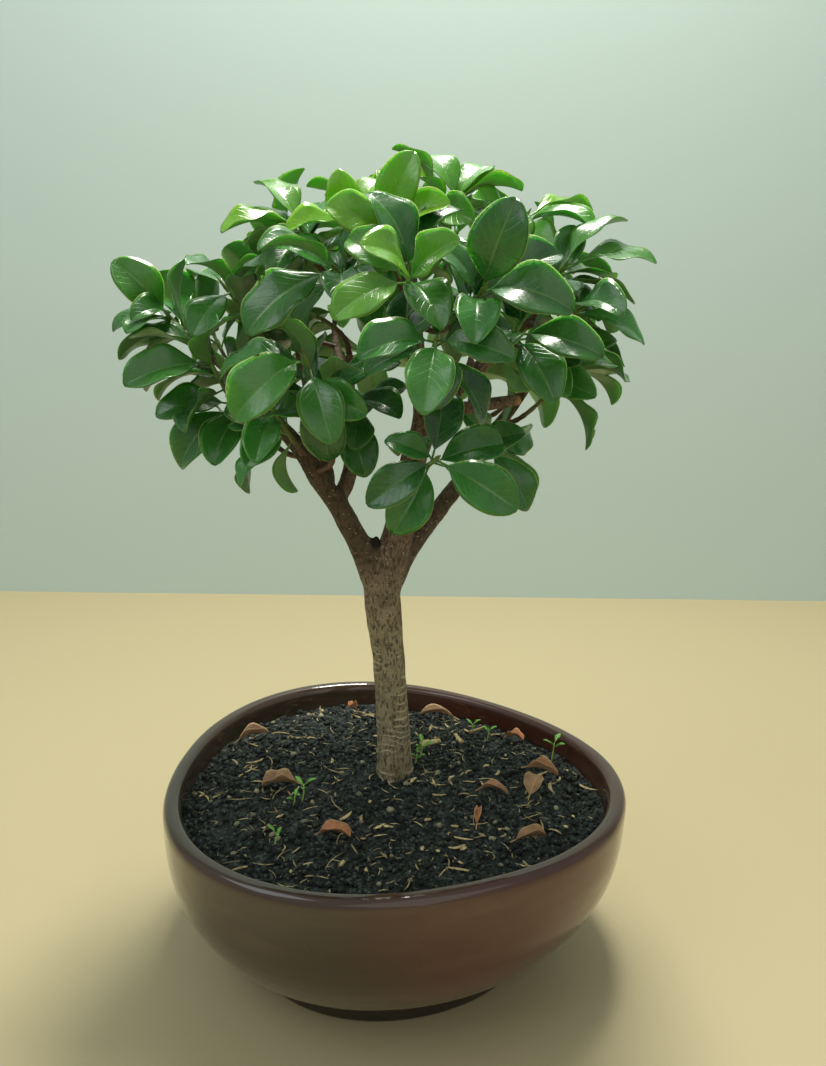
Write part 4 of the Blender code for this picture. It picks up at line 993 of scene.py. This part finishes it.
def bark_relief(points, normals):
    """Tags of the wood, and how far its bark stands out: unevenness, rings and a flared foot."""
    limbs = {name: smooth_path(path, 6) for name, path in LIMBS.items()}
    depth = np.stack([np.concatenate([
        (np.linalg.norm(part[:, None] - path[:, :3], axis=2) - path[:, 3]).min(axis=1)
        for part in np.array_split(points, 24)]) for path in limbs.values()])
    nearest = depth.argmin(axis=0)
    names = list(limbs)
    second = np.sort(depth, axis=0)[1]
    x, y, z = points.T
    low = ease(z, 0.178, 0.135)
    turn = np.arctan2(y - 0.008, x - 0.003)
    phase = z / 0.0037 + 0.9 * lumps(points, 0.014, 31) + 0.25 * lumps(points, 0.004, 32)
    narrow = np.exp(-(((phase % 1) - 0.5) / 0.13) ** 2)
    ring = narrow * np.clip(0.6 + 1.3 * lumps(points, 0.0075, 33), 0, 1) * (0.25 + 0.75 * low)
    flare = np.exp(-np.clip(z - 0.079, 0, 1) / 0.006) * (0.0009 + 0.0011 * np.sin(3 * turn + 0.7))
    uneven = 0.00028 * rough(points * (1, 1, 0.6), 0.0055, 34) + 0.00035 * lumps(points, 0.016, 38)
    thick = np.clip(-depth.min(axis=0) / 0.001 + 1, 0, 1)
    scar = np.linalg.norm(points - np.array(LIMBS["bud_scar"][-1][:3]), axis=1)
    crust = ease(scar, 0.0085, 0.0035) * (nearest == names.index("bud_scar"))
    away = uneven + 0.00018 * ring + flare + 0.0009 * crust * lumps(points, 0.0018, 41)
    tip = np.array(LIMBS["cut_branch"][-1][:3])
    before = np.array(LIMBS["cut_branch"][-2][:3])
    sawn = ease((points - tip) @ unit(tip - before), -0.0008, 0.0002) * (
        nearest == names.index("cut_branch"))
    # painted shade: the left and right limbs and the bud scar darken above the fork, where the crown shades
    # them
    shade = np.isin(nearest, [names.index(n) for n in ("left", "right", "bud_scar")]) * ease(
        z, 0.186, 0.205) * 0.8
    tags = {"ring": ring, "sawn": sawn, "crust": crust, "shade": shade}
    return points + normals * (away * thick)[:, None], tags, second


def smoothed(points, edges, weight, rounds):
    """Each point moved towards the mean of its neighbours, by its weight, some rounds over."""
    ends = np.concatenate([edges, edges[:, ::-1]])
    count = np.bincount(ends[:, 0], minlength=len(points))[:, None]
    for _ in range(rounds):
        mean = np.stack([np.bincount(ends[:, 0], points[ends[:, 1], k], len(points))
                         for k in range(3)], axis=1) / count
        points = points + (mean - points) * weight[:, None]
    return points


def make_tree(finish):
    """Limb skins run together by a fine remesh, rounded where they fork, then barked."""
    skins = mesh_of("tree_wood", join([limb_body(path) for path in LIMBS.values()]))
    mesh = with_modifiers(skins, ("REMESH", {"mode": "VOXEL", "voxel_size": BARK_VOXEL}))
    edges = np.empty(len(mesh.edges) * 2, np.int32)
    mesh.edges.foreach_get("vertices", edges)
    edges = edges.reshape(-1, 2)
    points = points_of(mesh)
    second = bark_relief(points, np.zeros_like(points))[2]
    points = smoothed(points, edges, np.full(len(points), 0.5), 3)
    points = smoothed(points, edges, 0.6 * ease(second, 0.0040, 0.0005), 22)
    mesh.vertices.foreach_set("co", points.astype(np.float32).reshape(-1))
    mesh.update()
    normals = np.empty(len(mesh.vertices) * 3, np.float32)
    mesh.vertex_normals.foreach_get("vector", normals)
    points, tags, _ = bark_relief(points, normals.reshape(-1, 3).astype(float))
    mesh.vertices.foreach_set("co", points.astype(np.float32).reshape(-1))
    for tag, values in tags.items():
        mesh.attributes.new(tag, "FLOAT", "POINT").data.foreach_set("value", values.astype(np.float32))
    mesh.shade_smooth()
    mesh.name = "tree_wood"
    return add_piece("tree_wood", mesh, finish, "bark", "tree")


# ---------------------------------------------------------------- leaves

YOUNG = {"top_left": 0.45, "top_middle_left": 0.85, "top_centre": 0.85, "front_upper": 0.45,
         "top_right": 0.70, "right_top": 0.70, "back_top_left": 0.55, "back_top_middle": 0.75,
         "back_top_right": 0.6, "upper_left": 0.15, "front_bud": 0.15, "middle_right": 0.4,
         "right_shoulder": 0.30, "middle_left": 0.3, "right_low": 0.15, "left_under": 0.0,
         "left_drop": 0.0}
ACROSS = np.linspace(1, -1, 13)
ACROSS = np.sign(ACROSS) * np.abs(ACROSS) ** 1.35
BELOW = -ACROSS[1:-1]
RING_ACROSS = np.concatenate([ACROSS, BELOW])
RING_SIDE = np.concatenate([[0], np.ones(11), [0], -np.ones(11)])


def outline(u):
    """Half width of a blade as a share of its greatest: a wedge at the stalk, a blunt round tip."""
    return np.sin(math.pi * u**1.10) ** (0.92 - 0.30 * u)


def blade_body(shape, dice, thick=0.0004, cup=(-0.05, 0.30), wave=0.13, stations=18, **tags):
    """Closed skin of a leaf on its stalk.

    A section runs over the upper side from margin to margin and back along the underside.
    It lies half a thickness off leaf_points, and to that come a groove along the midrib, a
    cupping that grows with the square of the way across, and a wave along the margins.
    """
    base, run, top, reach, wide = shape[:5]
    u = (np.linspace(0.012, 0.992, stations) ** 0.95)[:, None]
    half = reach * (1 - LEAF_PETIOLE) * wide / 2 * outline(u)
    v = RING_ACROSS * outline(u) / np.sin(math.pi * u**OUTLINE_SKEW) ** OUTLINE_POWER
    amount, waves, phase = dice.uniform(*cup), dice.uniform(1.2, 2.3), dice.uniform(0, 6)
    side = np.sign(RING_ACROSS) * dice.uniform(0.5, 1.6)
    out = np.abs(RING_ACROSS)
    rib = np.exp(-(RING_ACROSS / 0.11) ** 2) * (1 - u) ** 0.7
    body = np.where(RING_SIDE > 0, 0.5 * thick - 0.00022 * rib, -0.5 * thick - 0.00042 * rib)
    lift = np.where(RING_SIDE == 0, 0, body * (1 - 0.5 * out**4))
    lift = lift + half * amount * out**2 + half * wave * out**2 * np.sin(
        2 * math.pi * waves * u + phase + side)
    rings = leaf_points(shape, u, v, lift)
    angle = np.linspace(0, 2 * math.pi, len(RING_ACROSS), endpoint=False)[:, None]
    circle = np.cross(run, top) * np.cos(angle) + top * np.sin(angle)
    stalk = np.stack([base + (stalk_end(shape) - base) * t + circle * r * (reach / 0.038)
                      for t, r in ((-0.12, 0.0007), (0.1, 0.00062), (0.5, 0.0005), (0.92, 0.00052))])
    rings = np.vstack([stalk, rings])
    along = np.vstack([np.zeros((4, 1)), u])
    return tube_body(rings, along=along, across=np.vstack([np.zeros((4, len(out))),
                                                           RING_ACROSS + 0 * u]),
                     under=(RING_SIDE < 0) * 1.0, **tags)


def stem_body(stem, dice):
    """A shoot's stem: from inside the limb to its tip, swollen at each leaf, ending in a bud."""
    inward = unit(stem[0] - stem[1])
    path = np.vstack([stem[0] + inward * 0.002, stem])
    path = smooth_path(path, 6)
    share = np.linspace(0, 1, len(path))
    radius = 0.0017 - 0.0008 * share + 0.0008 * np.exp(-share / 0.05)
    radius = radius * (1 + 0.10 * np.sin(2 * math.pi * share * len(path) / 3.1))
    way = unit(path[-1] - path[-2])
    length = dice.uniform(0.004, 0.008)
    t = np.array([0.08, 0.3, 0.6, 0.85, 1.0])[:, None]
    bud = np.hstack([path[-1] + way * length * t, 0.0010 * (1 - t) ** 0.7 + 0.00012])
    whole = np.vstack([np.hstack([path, radius[:, None]]), bud])
    fresh = np.concatenate([share * 0.9, np.ones(len(t))])
    return tube_body(around_path(whole, 8), fresh=fresh[:, None])


def make_shoots(leaf_finish, stem_finish):
    """Each shoot's leaves in one piece and its stem in another, both for the shoot's node."""
    paths = limb_paths()
    stems = {name: stem_path(paths[limb], share, tip)
             for name, (limb, share, tip, _) in SHOOTS.items()}
    for number, (name, shapes) in enumerate(grow_leaves(stems).items()):
        dice = random.Random(1000 + number)
        young = YOUNG.get(name, 0.08)
        blades = []
        for i, shape in enumerate(shapes):
            age = min(1, max(0, young + 0.15 - 0.07 * i + dice.uniform(-0.18, 0.12)))
            blades.append(blade_body(shape, dice, age=age, tint=dice.uniform(0, 1)))
        slot = "young_leaf" if young > 0.4 else "leaf"
        add_piece(f"leaves_{name}", mesh_of(f"leaves_{name}", join(blades)), leaf_finish, slot,
                  f"shoot_{name}")
        add_piece(f"stem_{name}", mesh_of(f"stem_{name}", stem_body(stems[name], dice)),
                  stem_finish, "bark", f"shoot_{name}")


# ---------------------------------------------------------------- litter

LITTER_TONES = (0.95, 0.25, 0.15, 1.0, 0.85, 0.55, 0.30, 0.50, 0.95, 0.2, 0.35)


def settle(body, name):
    """The body lowered or lifted until it rests where its CAD node does."""
    drop = body.points[:, 2].min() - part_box(name)[0].z
    return body._replace(points=body.points - (0, 0, drop))


def make_fallen_leaves(finish):
    for i, (x, y, turn, reach, wide, arch, fold, tilt) in enumerate(FALLEN_LEAVES):
        a, b = math.radians(turn), math.radians(tilt)
        run = np.array([math.cos(a) * math.cos(b), math.sin(a) * math.cos(b), math.sin(b)])
        top = unit(np.array([0, 0, 1]) - run * run[2])
        shape = (np.array([x, y, 0.1]) - run * reach / 2, run, top, reach, wide, arch, fold)
        body = blade_body(shape, random.Random(300 + i), thick=0.0005, cup=(0.2, 0.5), wave=0.22,
                          stations=22, tone=LITTER_TONES[i])
        name = f"fallen_leaf_{i + 1}"
        add_piece(f"dry_leaf_{i + 1}", mesh_of(f"dry_leaf_{i + 1}", settle(body, name)), finish,
                  "dry_leaf", name)


def make_dead_wood(finish):
    """Chips as split slivers of wood, the twig as a thin knotted rod."""
    for i, (x, y, turn, size) in enumerate(WOOD_CHIPS):
        a = math.radians(turn)
        t = np.linspace(-0.5, 0.5, 12)
        width = size[1] / 2 * (1 - 0.25 * (t > 0) - 1.1 * np.abs(t) ** 3)
        path = np.stack([x + t * size[0] * math.cos(a), y + t * size[0] * math.sin(a),
                         0.1 + 0 * t, width], axis=1)
        rings = around_path(path, 12, (0, 0, 1), size[2] / size[1])
        rings += 0.0009 * rough(rings, 0.0035, 51 + i)[..., None] * (0.5, 0.5, 0.4)
        body = settle(tube_body(rings, tone=0.75), f"wood_chip_{i + 1}")
        add_piece(f"split_chip_{i + 1}", mesh_of(f"split_chip_{i + 1}", body), finish,
                  "dead_wood", f"wood_chip_{i + 1}")
    ends = np.array(TWIG)
    t = np.linspace(0, 1, 16)[:, None]
    path = np.hstack([ends[0] + (ends[1] - ends[0]) * t, 0.1 + 0 * t, TWIG_RADIUS * (1 - 0.25 * t)])
    rings = around_path(path, 10, (0, 0, 1))
    rings += 0.0003 * rough(rings, 0.003, 55)[..., None]
    body = settle(tube_body(rings, tone=0.35), "twig")
    add_piece("dead_twig", mesh_of("dead_twig", body), finish, "dead_wood", "twig")


STRAWS = 420


def make_straws(finish):
    """Straws, root hairs and bark slivers strewn over the soil: bent flat tubes of a few faces."""
    dice = np.random.default_rng(61)
    x, y = scatter(STRAWS, dice, 0.006)
    straws = []
    for px, py in zip(x, y):
        long = dice.uniform(0.003, 0.007) if dice.uniform() < 0.7 else dice.uniform(0.007, 0.015)
        width = dice.uniform(0.00018, 0.0005) if dice.uniform() < 0.75 else dice.uniform(0.0006, 0.0012)
        a, bend = dice.uniform(0, 2 * math.pi), dice.uniform(-0.9, 0.9)
        t = np.linspace(-0.5, 0.5, 5)
        turn = a + bend * t
        sx, sy = px + long * t * np.cos(turn), py + long * t * np.sin(turn)
        lift = soil_height(sx, sy).max() + 0.0004 + dice.uniform(-0.15, 0.25) * long * t
        path = np.stack([sx, sy, lift, width * np.array([0.3, 0.9, 1, 0.8, 0.25])], axis=1)
        straws.append(tube_body(around_path(path, 5, (0, 0, 1), 0.45), tone=dice.uniform(0.3, 1)))
    add_piece("straws", mesh_of("straws", join(straws)), finish, "dead_wood")


def seedling(x, y, height, ground, turn, leaf):
    """A thread of a stem with small round leaves spread around its top."""
    top = np.array([x + 0.001, y - 0.001, ground + height])
    path = smooth_path([(x, y, ground - 0.001, 0.00045), (x + 0.0008, y, ground + height / 2, 0.00035),
                        (*top, 0.0003)], 3)
    stem = tube_body(around_path(path, 6), along=0.0, across=0.0, under=0.0)
    made = [stem]
    for k in range(SPROUT_LEAVES):
        a = math.radians(GOLDEN_ANGLE * k + turn)
        run = unit(np.array([math.cos(a), math.sin(a), 0.5]))
        up = unit(np.array([0, 0, 1]) - run * run[2])
        shape = (top - (0, 0, SPROUT_SPACING * k), run, up, leaf, *SPROUT_LEAF[1:])
        made.append(blade_body(shape, random.Random(k), thick=0.0003, stations=9))
    return join(made)


WEED_LEAF = 0.0055
WEEDS = [(0.049, 0.063, 0.009), (0.015, 0.019, 0.006), (-0.050, -0.057, 0.006), (0.058, 0.055, 0.008),
         (-0.046, -0.024, 0.006)]


def make_seedlings(finish):
    for i, (x, y, height) in enumerate(SPROUTS):
        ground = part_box(f"sprout_{i + 1}")[0].z
        body = seedling(x, y, height, ground, 50 * i, SPROUT_LEAF[0])
        add_piece(f"seedling_{i + 1}", mesh_of(f"seedling_{i + 1}", body), finish, "sprout",
                  f"sprout_{i + 1}")
    weeds = [seedling(x, y, height, float(soil_height(np.array(x), np.array(y))), 77 * i, WEED_LEAF)
             for i, (x, y, height) in enumerate(WEEDS)]
    add_piece("weeds", mesh_of("weeds", join(weeds)), finish, "sprout")


# ---------------------------------------------------------------- stage, light and camera


def plain(name, hex_colour, roughness):
    return start_material(name, Base_Color=linear(hex_colour), Roughness=roughness)[0]


WALL_Y, REACH = 0.62, 3


def make_stage():
    """A pale table top and, behind it, a pale wall."""
    for name, corners, finish in (
            ("table_top", [(-REACH, -REACH, 0), (REACH, -REACH, 0), (REACH, WALL_Y, 0),
                           (-REACH, WALL_Y, 0)],
             plain("pale_table", "#BCAE88", 0.55)),
            ("wall", [(-REACH, WALL_Y, 0), (REACH, WALL_Y, 0), (REACH, WALL_Y, REACH),
                      (-REACH, WALL_Y, REACH)],
             plain("pale_wall", "#C4D7D2", 0.9))):
        mesh = bpy.data.meshes.new(name)
        mesh.from_pydata(corners, [], [(0, 1, 2, 3)])
        mesh.materials.append(finish)
        ground = bpy.data.objects.new(name, mesh)
        bpy.context.scene.collection.objects.link(ground)


def add_light(name, place, aim, size, watts, hex_colour="#FFFFFF"):
    """A square soft light that faces aim."""
    data = bpy.data.lights.new(name, "AREA")
    data.size, data.energy, data.color = size, watts, linear(hex_colour)[:3]
    light = bpy.data.objects.new(name, data)
    bpy.context.scene.collection.objects.link(light)
    place = np.array(place, float)
    back = unit(place - aim)
    side = unit(np.cross((0.01, 1, 0.02), back))
    light.matrix_world = Matrix([(*row, p) for row, p in zip(
        np.stack([side, np.cross(back, side), back], axis=1), place)] + [(0, 0, 0, 1)])
    return light


def make_lights():
    add_light("ceiling_light", (0.08, 0.34, 1.55), (0, 0, 0.15), 0.34, 22, "#FDFAF0")
    add_light("window_fill", (-0.9, -0.6, 1.3), (0, 0, 0.2), 0.9, 5, "#F1F6FA")
    add_light("front_fill", (0.5, -1.3, 0.8), (0, 0, 0.2), 1.2, 2.5, "#F6F4EA")
    world = bpy.data.worlds.new("room")
    world.use_nodes = True
    world.node_tree.nodes["Background"].inputs["Color"].default_value = linear("#E4EBE6")
    world.node_tree.nodes["Background"].inputs["Strength"].default_value = 0.45
    bpy.context.scene.world = world


def make_camera():
    """A phone's wide lens level with the crown, tilted down 12 degrees."""
    data = bpy.data.cameras.new("camera")
    data.sensor_width, data.lens, data.shift_x = 36, 27.69, 0.00516
    data.clip_start = 0.01
    camera = bpy.data.objects.new("camera", data)
    camera.matrix_world = (Matrix.Translation((0.0094, -0.396, 0.299))
                           @ Matrix.Rotation(math.radians(90 - 12), 4, "X")
                           @ Matrix.Rotation(math.radians(0.69), 4, "Z"))
    bpy.context.scene.collection.objects.link(camera)
    bpy.context.scene.camera = camera


make_camera()
make_stage()
make_lights()
make_pot(glazed_stoneware())
make_soil(potting_soil())
make_tree(fig_bark())
make_shoots(waxy_leaf(), shoot_skin())
make_fallen_leaves(dried_leaf())
wood = weathered_wood()
make_dead_wood(wood)
make_straws(wood)
make_seedlings(seedling_skin())
bpy.context.scene.view_settings.view_transform = "Standard"
